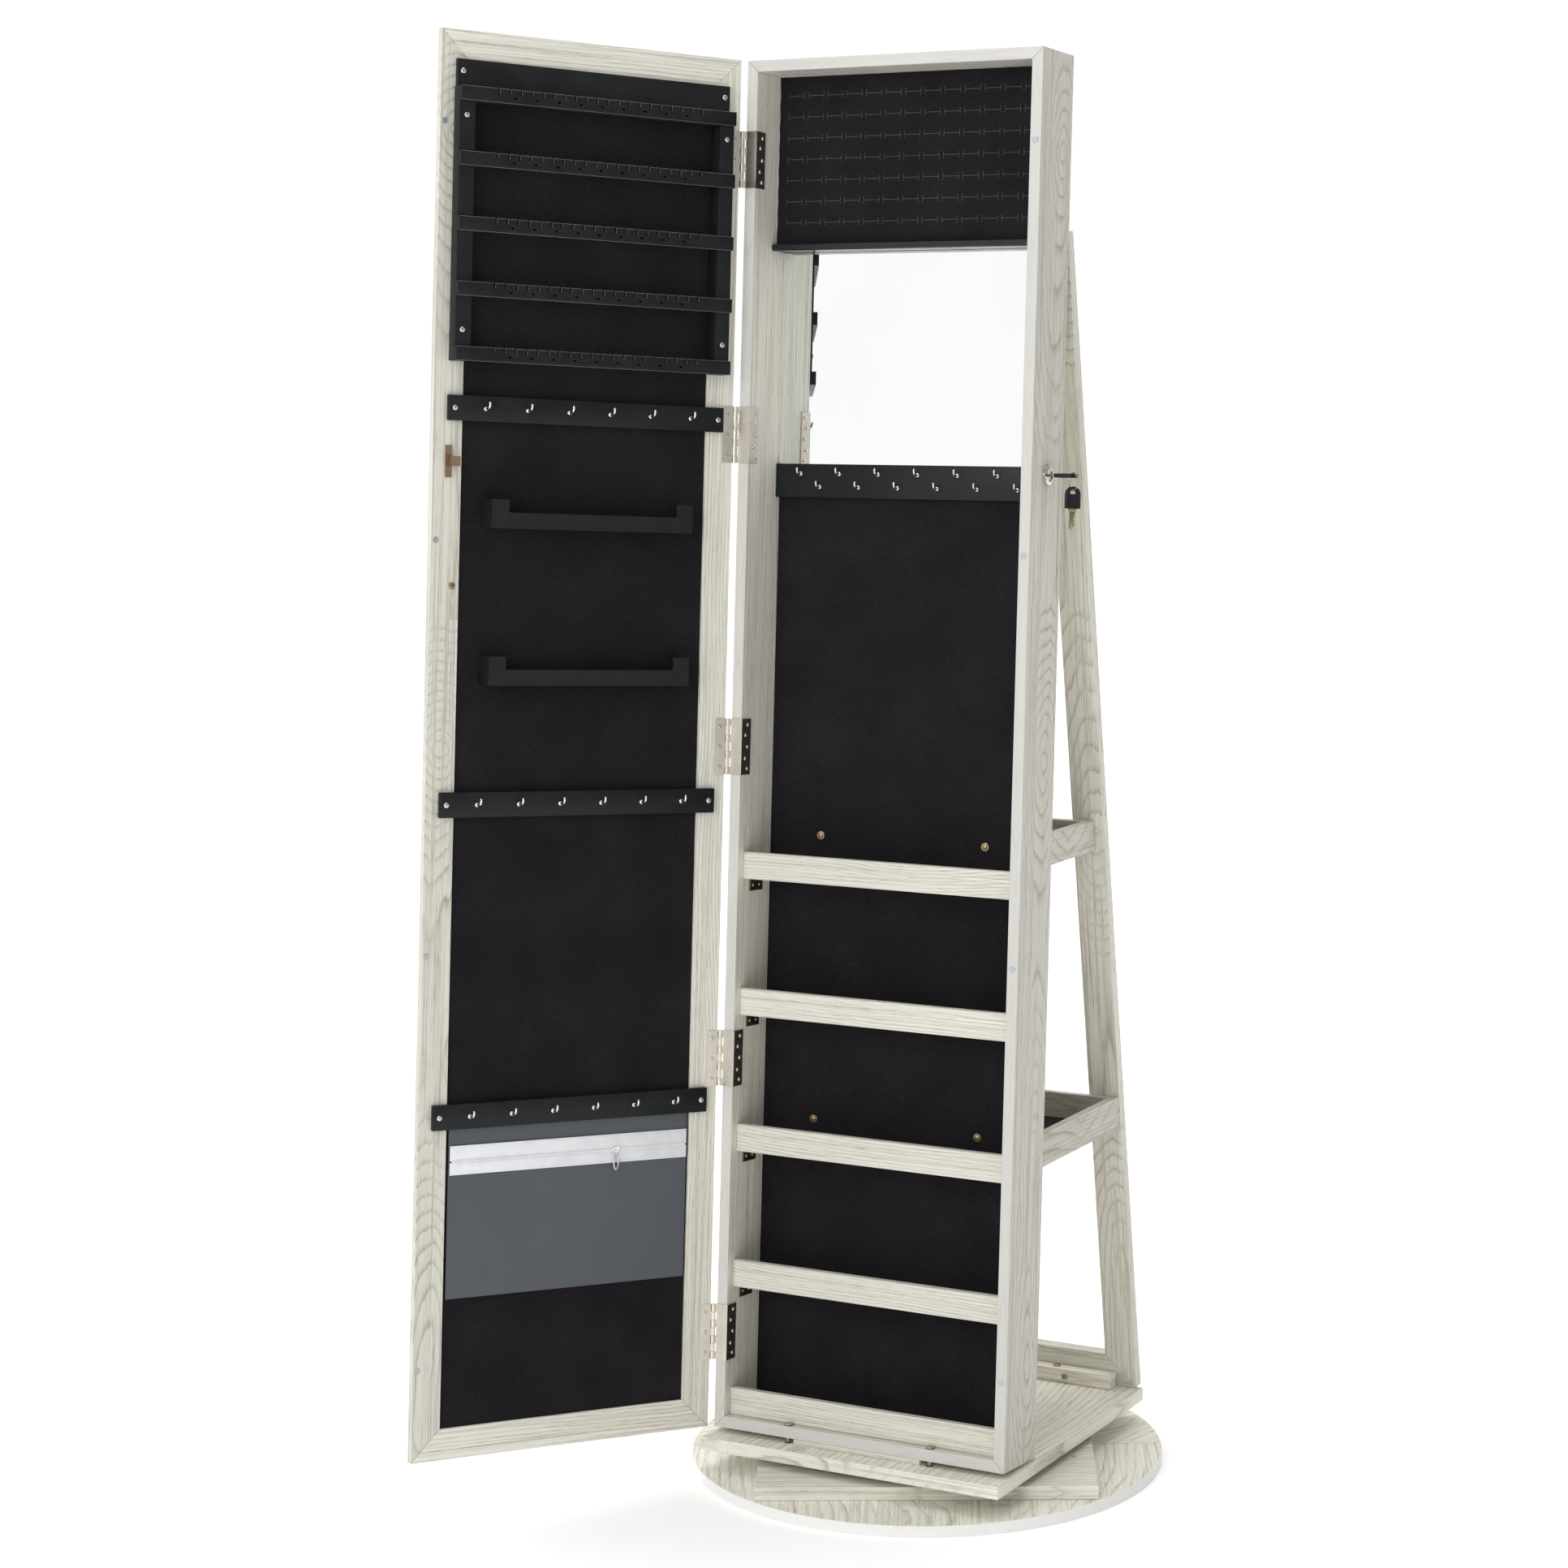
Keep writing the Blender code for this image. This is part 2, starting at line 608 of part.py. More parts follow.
def make_lock(cabinet, turning):
    """The lock's frame has its origin where the lock's axis leaves the cabinet's right side."""
    still = empty("lock_frame", LOCK_PLACE, parent=cabinet)
    inner_end = -BOARD - 0.006
    body = combined(
        cylinder(LOCK_BODY_RADIUS, (inner_end, 0, 0), (0.001, 0, 0)),
        adds=[cylinder(ROSETTE_RADIUS, (GAP, 0, 0), (0.0024, 0, 0), 32)],
        cuts=[cylinder(PLUG_RADIUS + GAP, (inner_end - 0.01, 0, 0), (0.01, 0, 0))],
    )
    node("lock_cylinder", body, CHROME, still, smooth=True)
    room = 0.0004
    keyway = box(
        (BLADE_START - 0.0015, -BLADE_HALF - room, -BLADE_THICK / 2 - room),
        (0.02, BLADE_HALF + room, BLADE_THICK / 2 + room),
    )
    node("lock_plug_and_cam", combined(plug_mesh(), adds=cam_meshes(), cuts=[keyway]), NICKEL, turning)
    centre = BOW_END - BOW_HALF
    bow = plate_across_depth(arched_outline(BOW_HALF, BOW_END, BOW_START), -BOW_THICK / 2, BOW_THICK / 2)
    bow.transform(Matrix(((0, 0, 1, 0), (1, 0, 0, 0), (0, 1, 0, 0), (0, 0, 0, 1))))
    key = combined(
        box((BLADE_START, -BLADE_HALF, -BLADE_THICK / 2), (BLADE_END, BLADE_HALF, BLADE_THICK / 2)),
        adds=[bow],
        cuts=[cylinder(BOW_HOLE_RADIUS, (centre, 0, -0.01), (centre, 0, 0.01))],
    )
    node("lock_key", key, BLACK, turning)
    make_key_ring(turning)


def plug_mesh():
    return cylinder(PLUG_RADIUS, (CAM_X + 0.001, 0, 0), (0.0022, 0, 0))


def cam_meshes():
    """The cam at rest: a hub, an arm that points up behind the axis, and a finger across the arm's end."""
    near, far, reach = CAM_ARM
    finger_low, finger_tall = CAM_FINGER
    high_x = CAM_X + CAM_THICK
    return [
        box((CAM_X, -0.0040, -0.0040), (high_x, far, 0.0040)),
        box((CAM_X, near, -0.0040), (high_x, far, reach)),
        box((CAM_X, finger_low, reach - finger_tall), (high_x, far, reach)),
    ]


def arched_outline(half, top, bottom, steps=12):
    """Points round a key's grip: square at the bottom, a half circle at the top."""
    outline = [(-half, bottom), (half, bottom)]
    for step in range(steps + 1):
        angle = math.pi * step / steps
        outline.append((half * math.cos(angle), top - half + half * math.sin(angle)))
    return outline


def make_key_ring(turning):
    """The ring goes through the grip's hole and round its rim, and the spare key hangs on the ring.

    Both are built with the ring in their xz plane, turned together about the vertical.
    """
    rim = (BOW_HOLE_RADIUS + BOW_HALF) / 2
    x = BOW_END - BOW_HALF + rim * math.cos(RING_TURN)
    y = rim * math.sin(RING_TURN)
    pivot_z = BOW_THICK / 2 + GAP + RING_WIRE
    swing = empty("key_ring_frame", (x, y, pivot_z), (0, 0, RING_TURN), turning)
    work = bmesh.new()
    around, sides = 32, 8
    loops = []
    for i in range(around):
        angle = 2 * math.pi * i / around
        loop = []
        for k in range(sides):
            turn = 2 * math.pi * k / sides
            reach = RING_RADIUS + RING_WIRE * math.cos(turn)
            across, up = reach * math.sin(angle), reach * math.cos(angle) - RING_RADIUS
            loop.append(work.verts.new((across, RING_WIRE * math.sin(turn), up)))
        loops.append(loop)
    for i in range(around):
        near, far = loops[i], loops[(i + 1) % around]
        for k in range(sides):
            j = (k + 1) % sides
            work.faces.new((near[k], near[j], far[j], far[k]))
    node("key_ring", mesh_of(work), NICKEL, swing, smooth=True)
    hang = empty("spare_key_frame", (0, 0, -2 * RING_RADIUS), (0, 0, math.radians(90)), swing)
    foot = SPARE_TOP - SPARE_TALL
    head = plate_across_depth(arched_outline(BOW_HALF, SPARE_TOP, foot), -BOW_THICK / 2, BOW_THICK / 2)
    blade_half, blade_long = SPARE_BLADE
    blade = box(
        (-blade_half, -BLADE_THICK / 2, foot - blade_long), (blade_half, BLADE_THICK / 2, foot + 0.002)
    )
    hole_half, hole_low, hole_high = SPARE_HOLE
    hole = box((-hole_half, -0.01, hole_low), (hole_half, 0.01, hole_high))
    node("spare_key", combined(head, adds=[blade], cuts=[hole]), BLACK, hang)


def make_rear_frame():
    rise = FRAME_TOP_Z - PLATE_TOP
    top_y = cabinet_back_y(FRAME_TOP_Z) + 0.0008
    length = math.hypot(rise, FRAME_FRONT_Y - top_y)
    slant = math.asin((FRAME_FRONT_Y - top_y) / length)
    frame = empty("rear_frame", (0, FRAME_FRONT_Y, PLATE_TOP + GAP), (slant, 0, 0))
    names = ("rear_frame_left_leg", "rear_frame_right_leg", "rear_frame_bottom_rail", "rear_frame_top_rail")
    mitred_frame(
        names, 2 * FRAME_HALF_WIDTH, length, FRAME_BOARD, 0, FRAME_THICK, WOOD, frame, -FRAME_HALF_WIDTH
    )

    def frame_y(z):
        return FRAME_FRONT_Y - (z - PLATE_TOP) * math.tan(slant)

    half, depth, height = BATTEN
    back = frame_y(PLATE_TOP + height) - GAP
    batten = box((-half, back - depth, PLATE_TOP + GAP), (half, back, PLATE_TOP + height))
    node("rear_batten", batten, WOOD, bevel=0.0006)
    for name, (side, low, tall) in TRAYS.items():
        make_tray(name, side, low, low + tall, frame_y)


def cabinet_back_y(z):
    """How far back the leaning cabinet's rear face is at a height."""
    along = (z - CABINET_FRONT_Z + CABINET_DEPTH * math.sin(LEAN)) / math.cos(LEAN)
    return CABINET_FRONT_Y + CABINET_DEPTH * math.cos(LEAN) + along * math.sin(LEAN)


def make_tray(name, side, low, high, frame_y):
    """An open tray that bridges the cabinet's back and the rear frame."""

    def loop(x, z, inset=0.0):
        front = cabinet_back_y(z) + 0.0005 + inset
        back = frame_y(z) - 0.0005 - inset
        return [(-x, front, z), (x, front, z), (x, back, z), (-x, back, z)]

    outer = hexahedron(loop(side, low), loop(side, high))
    inner_side = side - TRAY_WALL
    over = high + 0.01
    cavity = hexahedron(
        loop(inner_side, low + 0.005, TRAY_WALL), [(x, y, over) for x, y, _ in loop(inner_side, high, TRAY_WALL)]
    )
    node(name, combined(outer, cuts=[cavity]), WOOD, bevel=0.0005)


clear_scene()
WOOD = material("whitewashed_ash", (0.74, 0.72, 0.66), 0.55)
VELVET = material("black_velvet", (0.014, 0.013, 0.014), 0.95)
BLACK = material("black_plastic", (0.018, 0.019, 0.021), 0.35)
MIRROR = material("mirror_glass", (0.90, 0.92, 0.92), 0.02, 1.0)
NICKEL = material("satin_nickel", (0.62, 0.60, 0.57), 0.30, 1.0)
CHROME = material("chrome", (0.80, 0.80, 0.82), 0.08, 1.0)
STEEL = material("zinc_steel", (0.55, 0.56, 0.58), 0.35, 1.0)
BRASS = material("brass", (0.70, 0.50, 0.28), 0.30, 1.0)
BRONZE = material("bronze", (0.40, 0.26, 0.17), 0.35, 1.0)
FILM = material("pocket_film", (0.10, 0.11, 0.13), 0.25)

make_base()
make_swivel_plate()
CABINET = empty("cabinet_frame", (0, CABINET_FRONT_Y, CABINET_FRONT_Z), (-LEAN, 0, 0))
DOOR = empty("door_frame", (HINGE_X, HINGE_DEPTH, 0), (0, 0, -DOOR_OPEN_REST), CABINET)
LOCK = empty("lock_turning", LOCK_PLACE, parent=CABINET)
make_cabinet(CABINET)
make_foot()
make_fittings(CABINET)
make_hinges(CABINET, DOOR)
make_door(DOOR)
make_lock(CABINET, LOCK)
make_rear_frame()
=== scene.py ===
"""Materials, small fittings, light and camera for the swivelling jewellery cabinet.

Metres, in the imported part's frame. Fittings are placed in the solids' own frames: CAB is the leaning
cabinet (x, depth from its front edges, height), DOOR is the door (u from its hinge edge, v inwards from
its inner face, height), LOCK has its origin where the lock's axis leaves the cabinet.
"""

import math

import bmesh
import bpy
from mathutils import Matrix, Vector, noise


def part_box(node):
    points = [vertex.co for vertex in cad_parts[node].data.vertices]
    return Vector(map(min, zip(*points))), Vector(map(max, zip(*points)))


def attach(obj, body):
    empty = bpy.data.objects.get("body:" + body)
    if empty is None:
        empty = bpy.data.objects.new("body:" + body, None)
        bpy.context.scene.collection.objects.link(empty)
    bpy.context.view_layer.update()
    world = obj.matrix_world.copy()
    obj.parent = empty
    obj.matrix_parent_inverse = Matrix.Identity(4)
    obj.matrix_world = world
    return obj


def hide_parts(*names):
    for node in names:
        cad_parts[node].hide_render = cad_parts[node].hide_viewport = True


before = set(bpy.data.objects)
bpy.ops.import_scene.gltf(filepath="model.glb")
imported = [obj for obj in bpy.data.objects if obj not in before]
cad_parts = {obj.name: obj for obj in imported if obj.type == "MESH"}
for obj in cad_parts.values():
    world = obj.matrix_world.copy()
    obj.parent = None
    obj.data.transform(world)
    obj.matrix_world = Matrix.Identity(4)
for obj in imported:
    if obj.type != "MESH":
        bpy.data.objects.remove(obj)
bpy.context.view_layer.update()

# GAP is what neighbouring solids keep between them. HALF and INNER are the cabinet's half widths outside
# and inside, LINING is the depth of its back lining, and PLATE_TOP is the top of the swivel plate.
LEAN = math.radians(4.4)
CABINET_FRONT = (0.0, -0.1705, 0.058184)
GAP = 0.0003
HALF = 0.184
INNER = 0.171 - GAP
LINING = 0.072
HINGE = (-0.1874, -0.0028, 0.0)
DOOR_OPEN = math.radians(-120)
DOOR_SURFACE = (0.0034, 0.0002, 0.0)
HINGE_HEIGHTS = (1.4385, 1.1290, 0.7764, 0.4220, 0.1089)
LOCK_PLACE = (HALF, 0.040, 1.0895)
SQUARE_TURN = math.radians(27.5)
DISC_RADIUS = 0.272
PLATE_TOP = 0.0519
REAR_FOOT = (0.0, 0.188, PLATE_TOP)
REAR_SLANT = math.radians(6.50)

CAB = Matrix.Translation(CABINET_FRONT) @ Matrix.Rotation(-LEAN, 4, "X")
SWING = CAB @ Matrix.Translation(HINGE) @ Matrix.Rotation(DOOR_OPEN, 4, "Z")
DOOR = SWING @ Matrix.Translation(DOOR_SURFACE)
LOCK = CAB @ Matrix.Translation(LOCK_PLACE)
SQUARE = Matrix.Rotation(SQUARE_TURN, 4, "Z")
REAR = Matrix.Translation(REAR_FOOT) @ Matrix.Rotation(REAR_SLANT, 4, "X")


# ---------------- camera, light and stage
CAMERA_PLACE = (1.8031, -3.4453, 1.3209)
AZIMUTH, PITCH, ROLL = math.radians(28.386), math.radians(-5.745), math.radians(-0.580)
LENS = 79.15
SHIFT = (-0.0574, -0.0800)
HEIGHT_SHADES = [(0.0, 0.90), (0.40, 1.0), (0.60, 1.0), (0.70, 0.74), (0.84, 0.90), (0.93, 1.12)]
SIDE_SHADES = [(0.0, 1.0), (0.47, 1.0), (0.78, 0.48), (1.0, 0.43)]


def add_object(name, data):
    made = bpy.data.objects.new(name, data)
    bpy.context.scene.collection.objects.link(made)
    return made


def mesh_of(work, name):
    """The mesh of a finished bmesh, which is freed."""
    mesh = bpy.data.meshes.new(name)
    work.to_mesh(mesh)
    work.free()
    return mesh


def put(tree, socket, value):
    """A link or a plain value on a node's socket."""
    if isinstance(value, bpy.types.NodeSocket):
        tree.links.new(value, socket)
    else:
        socket.default_value = value


def add_node(tree, kind, inputs, **properties):
    """A new node with its properties set, and a value or a link on each of the inputs given."""
    made = tree.nodes.new("ShaderNode" + kind)
    for name, value in properties.items():
        setattr(made, name, value)
    for name, value in inputs.items():
        put(tree, made.inputs[name], value)
    return made


def add_ramp(tree, value, stops):
    """A colour ramp of grey stops, each a place and a shade."""
    made = add_node(tree, "ValToRGB", {0: value})
    elements = made.color_ramp.elements
    while len(elements) < len(stops):
        elements.new(0.5)
    for element, (place, shade) in zip(elements, stops):
        element.position = place
        element.color = (shade, shade, shade, 1.0)
    return made.outputs[0]


def make_camera():
    """Stands right of the object's middle, a little under its top, and looks slightly down."""
    made = add_object("camera", bpy.data.cameras.new("camera"))
    bpy.context.scene.camera = made
    made.data.sensor_width = 36.0
    made.data.lens = LENS
    made.data.shift_x, made.data.shift_y = SHIFT
    made.data.clip_end = 60.0
    turn = Matrix.Rotation(AZIMUTH, 4, "Z") @ Matrix.Rotation(math.radians(90) + PITCH, 4, "X")
    made.matrix_world = Matrix.Translation(CAMERA_PLACE) @ turn @ Matrix.Rotation(ROLL, 4, "Z")


def area_light(name, place, target, size, power):
    light = bpy.data.lights.new(name, "AREA")
    light.shape = "RECTANGLE"
    light.size, light.size_y = size
    light.energy = power
    made = add_object(name, light)
    made.location = place
    made.rotation_euler = (Vector(target) - Vector(place)).to_track_quat("-Z", "Y").to_euler()


def make_studio():
    """A white surround, dimmer to the object's right and between the horizon and the zenith."""
    world = bpy.data.worlds.new("studio")
    bpy.context.scene.world = world
    world.use_nodes = True
    tree = world.node_tree
    background = tree.nodes["Background"]
    point = add_node(tree, "TexCoord", {}).outputs["Generated"]
    parts = add_node(tree, "SeparateXYZ", {0: point})
    shades = []
    for axis, stops in (("Z", HEIGHT_SHADES), ("X", SIDE_SHADES)):
        span = add_node(tree, "MapRange", {"Value": parts.outputs[axis], "From Min": -1.0})
        shades.append(add_ramp(tree, span.outputs[0], stops))
    factors = {"Factor": 1.0, 6: shades[0], 7: shades[1]}
    product = add_node(tree, "Mix", factors, data_type="RGBA", blend_type="MULTIPLY")
    put(tree, background.inputs["Color"], product.outputs[2])
    put(tree, background.inputs["Strength"], 1.03)
    area_light("key", (0.2, -4.4, 2.6), (0.0, 0.0, 0.9), (2.2, 2.0), 52.0)
    area_light("top", (-0.6, 0.2, 4.2), (0.0, 0.0, 0.0), (2.4, 2.4), 68.0)
    bpy.context.scene.view_settings.view_transform = "Standard"
    work = bmesh.new()
    bmesh.ops.create_grid(work, x_segments=8, y_segments=8, size=14.0)
    floor = add_object("floor", mesh_of(work, "floor"))
    floor.data.materials.append(floor_finish())


# ---------------- material building
def tinted(colour, factor):
    return tuple(channel * factor for channel in colour)


class Finish:
    """A material under construction, with short ways to add nodes to it."""

    def __init__(self, name, colour, roughness, metallic=0.0, specular=0.5):
        self.material = bpy.data.materials.new(name)
        self.material.use_nodes = True
        self.tree = self.material.node_tree
        self.shader = self.tree.nodes["Principled BSDF"]
        self.set("Base Color", (*colour, 1.0))
        self.set("Roughness", roughness)
        self.set("Metallic", metallic)
        self.set("Specular IOR Level", specular)
        coordinates = self.node("TexCoord", {})
        self.point = coordinates.outputs["Object"]
        self.normal = coordinates.outputs["Normal"]

    def set(self, name, value):
        """Puts a value or a link on one of the shader's sockets."""
        put(self.tree, self.shader.inputs[name], value)

    def node(self, kind, inputs, **properties):
        return add_node(self.tree, kind, inputs, **properties)

    def math(self, operation, first, second=0.0):
        return self.node("Math", {0: first, 1: second}, operation=operation).outputs[0]

    def sum(self, first, second):
        return self.math("ADD", first, second)

    def scaled(self, value, factor):
        return self.math("MULTIPLY", value, factor)

    def vector(self, x, y, z):
        return self.node("CombineXYZ", {0: x, 1: y, 2: z}).outputs[0]

    def dot(self, vector, axis):
        return self.node("VectorMath", {0: vector, 1: axis}, operation="DOT_PRODUCT").outputs["Value"]

    def length(self, vector):
        return self.node("VectorMath", {0: vector}, operation="LENGTH").outputs["Value"]

    def stretched(self, vector, factors):
        return self.node("VectorMath", {0: vector, 1: factors}, operation="MULTIPLY").outputs["Vector"]

    def along(self, axis, centre=(0, 0, 0)):
        """The point's distance from the centre, measured along an axis."""
        return self.math("SUBTRACT", self.dot(self.point, Vector(axis)), Vector(axis).dot(Vector(centre)))

    def pick(self, share, first, second):
        """The first number where share is 0, the second where it is 1."""
        return self.node("Mix", {"Factor": share, 2: first, 3: second}).outputs[0]

    def mix(self, share, first, second):
        """The first colour where share is 0, the second where it is 1."""
        first, second = ((*one, 1.0) if isinstance(one, tuple) else one for one in (first, second))
        return self.node("Mix", {"Factor": share, 6: first, 7: second}, data_type="RGBA").outputs[2]

    def noise(self, vector, scale=1.0, detail=2.0, roughness=0.5):
        inputs = {"Vector": vector, "Scale": scale, "Detail": detail, "Roughness": roughness}
        return self.node("TexNoise", inputs).outputs["Fac"]

    def slow(self, value, seed, scale):
        """Noise along one axis only."""
        inputs = {"W": self.sum(self.scaled(value, scale), seed), "Scale": 1.0, "Detail": 1.0}
        return self.node("TexNoise", inputs, noise_dimensions="1D").outputs["Fac"]

    def span(self, value, low, high, to_low=0.0, to_high=1.0):
        inputs = {"Value": value, "From Min": low, "From Max": high, "To Min": to_low, "To Max": to_high}
        return self.node("MapRange", inputs).outputs[0]

    def ramp(self, value, stops):
        return add_ramp(self.tree, value, stops)

    def colour(self, value):
        self.set("Base Color", value)

    def rough(self, value):
        self.set("Roughness", value)

    def mottled(self, scale, detail, first, second):
        """Lets the colour drift from the first to the second in soft patches, and returns the patches."""
        patches = self.noise(self.point, scale, detail)
        self.colour(self.mix(self.span(patches, 0.3, 0.7), first, second))
        return patches

    def bump(self, height, distance, strength=1.0):
        made = self.node("Bump", {"Height": height, "Distance": distance, "Strength": strength})
        self.set("Normal", made.outputs[0])


ASH_LIGHT = (0.735, 0.715, 0.640)
ASH_MID = (0.370, 0.345, 0.275)
ASH_DARK = (0.200, 0.180, 0.135)
EDGE_WHITE = (0.580, 0.575, 0.550)
FIBRE_SHARE = 0.22
STREAK_SHARE = 0.95
PORE_SHARE = 0.50
RING_STOPS = [(0.0, 0.25), (0.06, 1.0), (0.17, 0.55), (0.36, 0.10), (0.92, 0.0), (1.0, 0.25)]
LINE_STOPS = [(0.0, 0.0), (0.50, 0.0), (0.60, 0.9), (0.66, 1.0), (0.78, 0.5)]
LINES_PER_METRE, FIBRES_PER_METRE, PORES_PER_METRE = 430.0, 900.0, 1500.0
EMBOSSING = 0.00016


def ash_field(made, grain, across, centre, seed, ring, offset, wander):
    """How strong the fibre, the dark streaks and the pores of the printed ash are, each from 0 to 1.

    The growth rings lie round a wandering line along the grain. a, c and t are the distances along the
    grain, across it and through the board. On a board's ends the three change roles, so that the foil's
    grain runs along the edge.
    """
    grain, across = Vector(grain).normalized(), Vector(across).normalized()
    ways = [made.along(way, centre) for way in (grain, across, grain.cross(across))]
    swap = made.math("GREATER_THAN", made.math("ABSOLUTE", made.dot(made.normal, grain)), 0.7)
    a, c, t = (made.pick(swap, one, other) for one, other in zip(ways, ways[1:] + ways[:1]))

    def drawn_out(along, beside, third, detail):
        """Noise that is stretched along the grain."""
        return made.noise(made.vector(made.scaled(a, along), made.scaled(c, beside), third), 1.0, detail)

    def strands(along, number, detail):
        return drawn_out(along, number, made.scaled(t, number), detail)

    sway = made.span(made.slow(a, seed, 2.3), 0.0, 1.0, -0.012, 0.012)
    side = made.sum(made.math("SUBTRACT", c, offset), sway)
    rise = made.span(made.slow(a, seed + 31.0, 1.5), 0.25, 0.75, -wander, wander)
    deep = made.sum(made.math("ABSOLUTE", rise), 0.006)
    deep = made.sum(deep, made.math("ABSOLUTE", t))
    square = made.sum(made.scaled(side, side), made.scaled(deep, deep))
    radius = made.math("SQRT", square)
    ripple = drawn_out(7.0, 60.0, seed, 2.0)
    phase = made.sum(made.scaled(radius, 1.0 / ring), made.scaled(ripple, 1.1))
    rings = made.ramp(made.math("FRACT", phase), RING_STOPS)
    lines = made.ramp(strands(3.0, LINES_PER_METRE, 1.0), LINE_STOPS)
    fibre = made.span(strands(5.0, FIBRES_PER_METRE, 2.0), 0.36, 0.66)
    pores = made.span(strands(55.0, PORES_PER_METRE, 1.0), 0.52, 0.66)
    patch = made.span(drawn_out(4.0, 24.0, seed, 2.0), 0.32, 0.62, 0.20, 1.0)
    ringed = made.scaled(rings, patch)
    thin = made.scaled(lines, made.span(patch, 0.20, 1.0, 0.75, 0.35))
    streak = made.math("MAXIMUM", ringed, thin)
    streak = made.scaled(streak, made.span(fibre, 0.0, 1.0, 0.60, 1.0))
    dotted = made.scaled(pores, made.span(streak, 0.0, 0.6, 0.22, 1.0))
    return fibre, streak, dotted


def ash_tone(made, field, shade):
    """The foil's colour, and the height of its embossing. The shade is painted light and shade: it makes a
    board lighter or darker as the light falls on it.
    """
    fibre, streak, dotted = field
    # Painted light and shade: all three tones are scaled by the board's shade.
    light, mid, dark = (
        tuple(min(channel * shade, 0.92) for channel in one) for one in (ASH_LIGHT, ASH_MID, ASH_DARK)
    )
    tone = made.mix(made.scaled(fibre, FIBRE_SHARE), light, mid)
    tone = made.mix(made.scaled(streak, STREAK_SHARE), tone, mid)
    tone = made.mix(made.scaled(dotted, PORE_SHARE), tone, dark)
    height = made.sum(made.scaled(streak, -0.6), made.scaled(dotted, -0.8))
    height = made.sum(height, made.scaled(fibre, -0.25))
    made.rough(made.span(dotted, 0.0, 1.0, 0.46, 0.68))
    return tone, height


def ash(name, grain, across, centre, seed, ring, offset, wander, shade, banded):
    """Whitewashed ash laminate.

    banded = (axis, limit): points short of the limit along the axis wear the pale edge banding.
    """
    made = Finish(name, ASH_LIGHT, 0.5, specular=0.35)
    # shade is painted light and shade: this board's colour is made lighter or darker as the light falls on
    # it.
    tone, height = ash_tone(made, ash_field(made, grain, across, centre, seed, ring, offset, wander), shade)
    if banded:
        axis, limit = banded
        beyond = made.math("LESS_THAN", made.along(axis), limit)
        tone = made.mix(made.scaled(beyond, 0.82), tone, EDGE_WHITE)
        height = made.scaled(height, made.span(beyond, 0.0, 1.0, 1.0, 0.25))
    made.colour(tone)
    made.bump(height, EMBOSSING, 0.75)
    return made.material


def floor_finish():
    """White studio paint that glows a little, more so far from the object, where it meets the surround."""
    made = Finish("floor_paint", (0.93, 0.93, 0.93), 0.9, specular=0.1)
    made.mottled(1.2, 3.0, (0.92, 0.92, 0.92), (0.95, 0.95, 0.95))
    made.set("Emission Color", (1.0, 1.0, 1.0, 1.0))
    made.set("Emission Strength", made.span(made.length(made.point), 0.25, 3.0, 0.16, 0.42))
    return made.material


def velvet_finish(name, colour, lift):
    """Short-pile velvet: a fuzzy nap, brushed lighter in patches."""
    made = Finish(name, colour, 0.92, specular=0.12)
    nap = made.noise(made.point, 1900.0, 2.0, 0.7)
    weave = made.noise(made.point, 700.0, 3.0, 0.6)
    brushed = made.noise(made.point, 14.0, 2.0)
    shade = made.scaled(made.span(nap, 0.3, 0.7, 0.50, 1.30), made.span(brushed, 0.3, 0.7, 0.8, 1.15))
    shade = made.scaled(shade, made.span(weave, 0.38, 0.62, 0.75, 1.25))
    made.colour(made.mix(made.span(shade, 0.3, 1.9), tinted(colour, 0.35), tinted(colour, lift)))
    made.set("Sheen Weight", 0.03)
    made.set("Sheen Roughness", 0.45)
    made.bump(made.sum(nap, made.scaled(weave, 0.8)), 0.0004, 0.6)
    return made.material


def plastic_finish(name, colour, roughness, specular):
    """Moulded plastic with a fine spark texture and faint flow marks."""
    made = Finish(name, colour, roughness, specular=specular)
    spark = made.noise(made.point, 2600.0, 2.0, 0.6)
    flow = made.mottled(35.0, 2.0, colour, tinted(colour, 1.45))
    made.rough(made.span(flow, 0.3, 0.7, roughness - 0.05, roughness + 0.07))
    made.bump(spark, 0.00006, 0.35)
    return made.material


def metal_finish(name, colour, roughness, brushed=(1.0, 1.0, 0.12), wear=0.12):
    """Plated metal, brushed along one axis and a little darker in patches."""
    made = Finish(name, colour, roughness, metallic=1.0)
    lines = made.noise(made.stretched(made.point, brushed), 3200.0, 2.0, 0.6)
    blot = made.mottled(40.0, 2.0, colour, tinted(colour, 1.0 - wear))
    scratched = made.span(lines, 0.3, 0.7, roughness - 0.03, roughness + 0.03)
    made.rough(made.sum(scratched, made.scaled(blot, 0.04)))
    made.bump(lines, 0.000006, 0.12)
    return made.material


def mirror_finish(name):
    """Silvered glass with a faint haze and a few specks of dust."""
    made = Finish(name, (0.93, 0.945, 0.94), 0.02, metallic=1.0)
    dust = made.span(made.noise(made.point, 420.0, 2.0), 0.66, 0.80)
    made.rough(made.span(dust, 0.0, 1.0, 0.012, 0.10))
    made.mottled(6.0, 2.0, (0.94, 0.955, 0.95), (0.91, 0.93, 0.925))
    return made.material


def film_finish():
    """Clear film: it greys the velvet behind it and has a soft, cloudy gloss."""
    made = Finish("pocket_film", (0.085, 0.092, 0.108), 0.22, specular=0.35)
    cloud = made.mottled(9.0, 3.0, (0.084, 0.093, 0.110), (0.094, 0.103, 0.120))
    made.rough(made.span(cloud, 0.2, 0.8, 0.26, 0.32))
    made.set("Alpha", 0.86)
    made.bump(made.noise(made.point, 900.0, 2.0), 0.00004, 0.25)
    return made.material


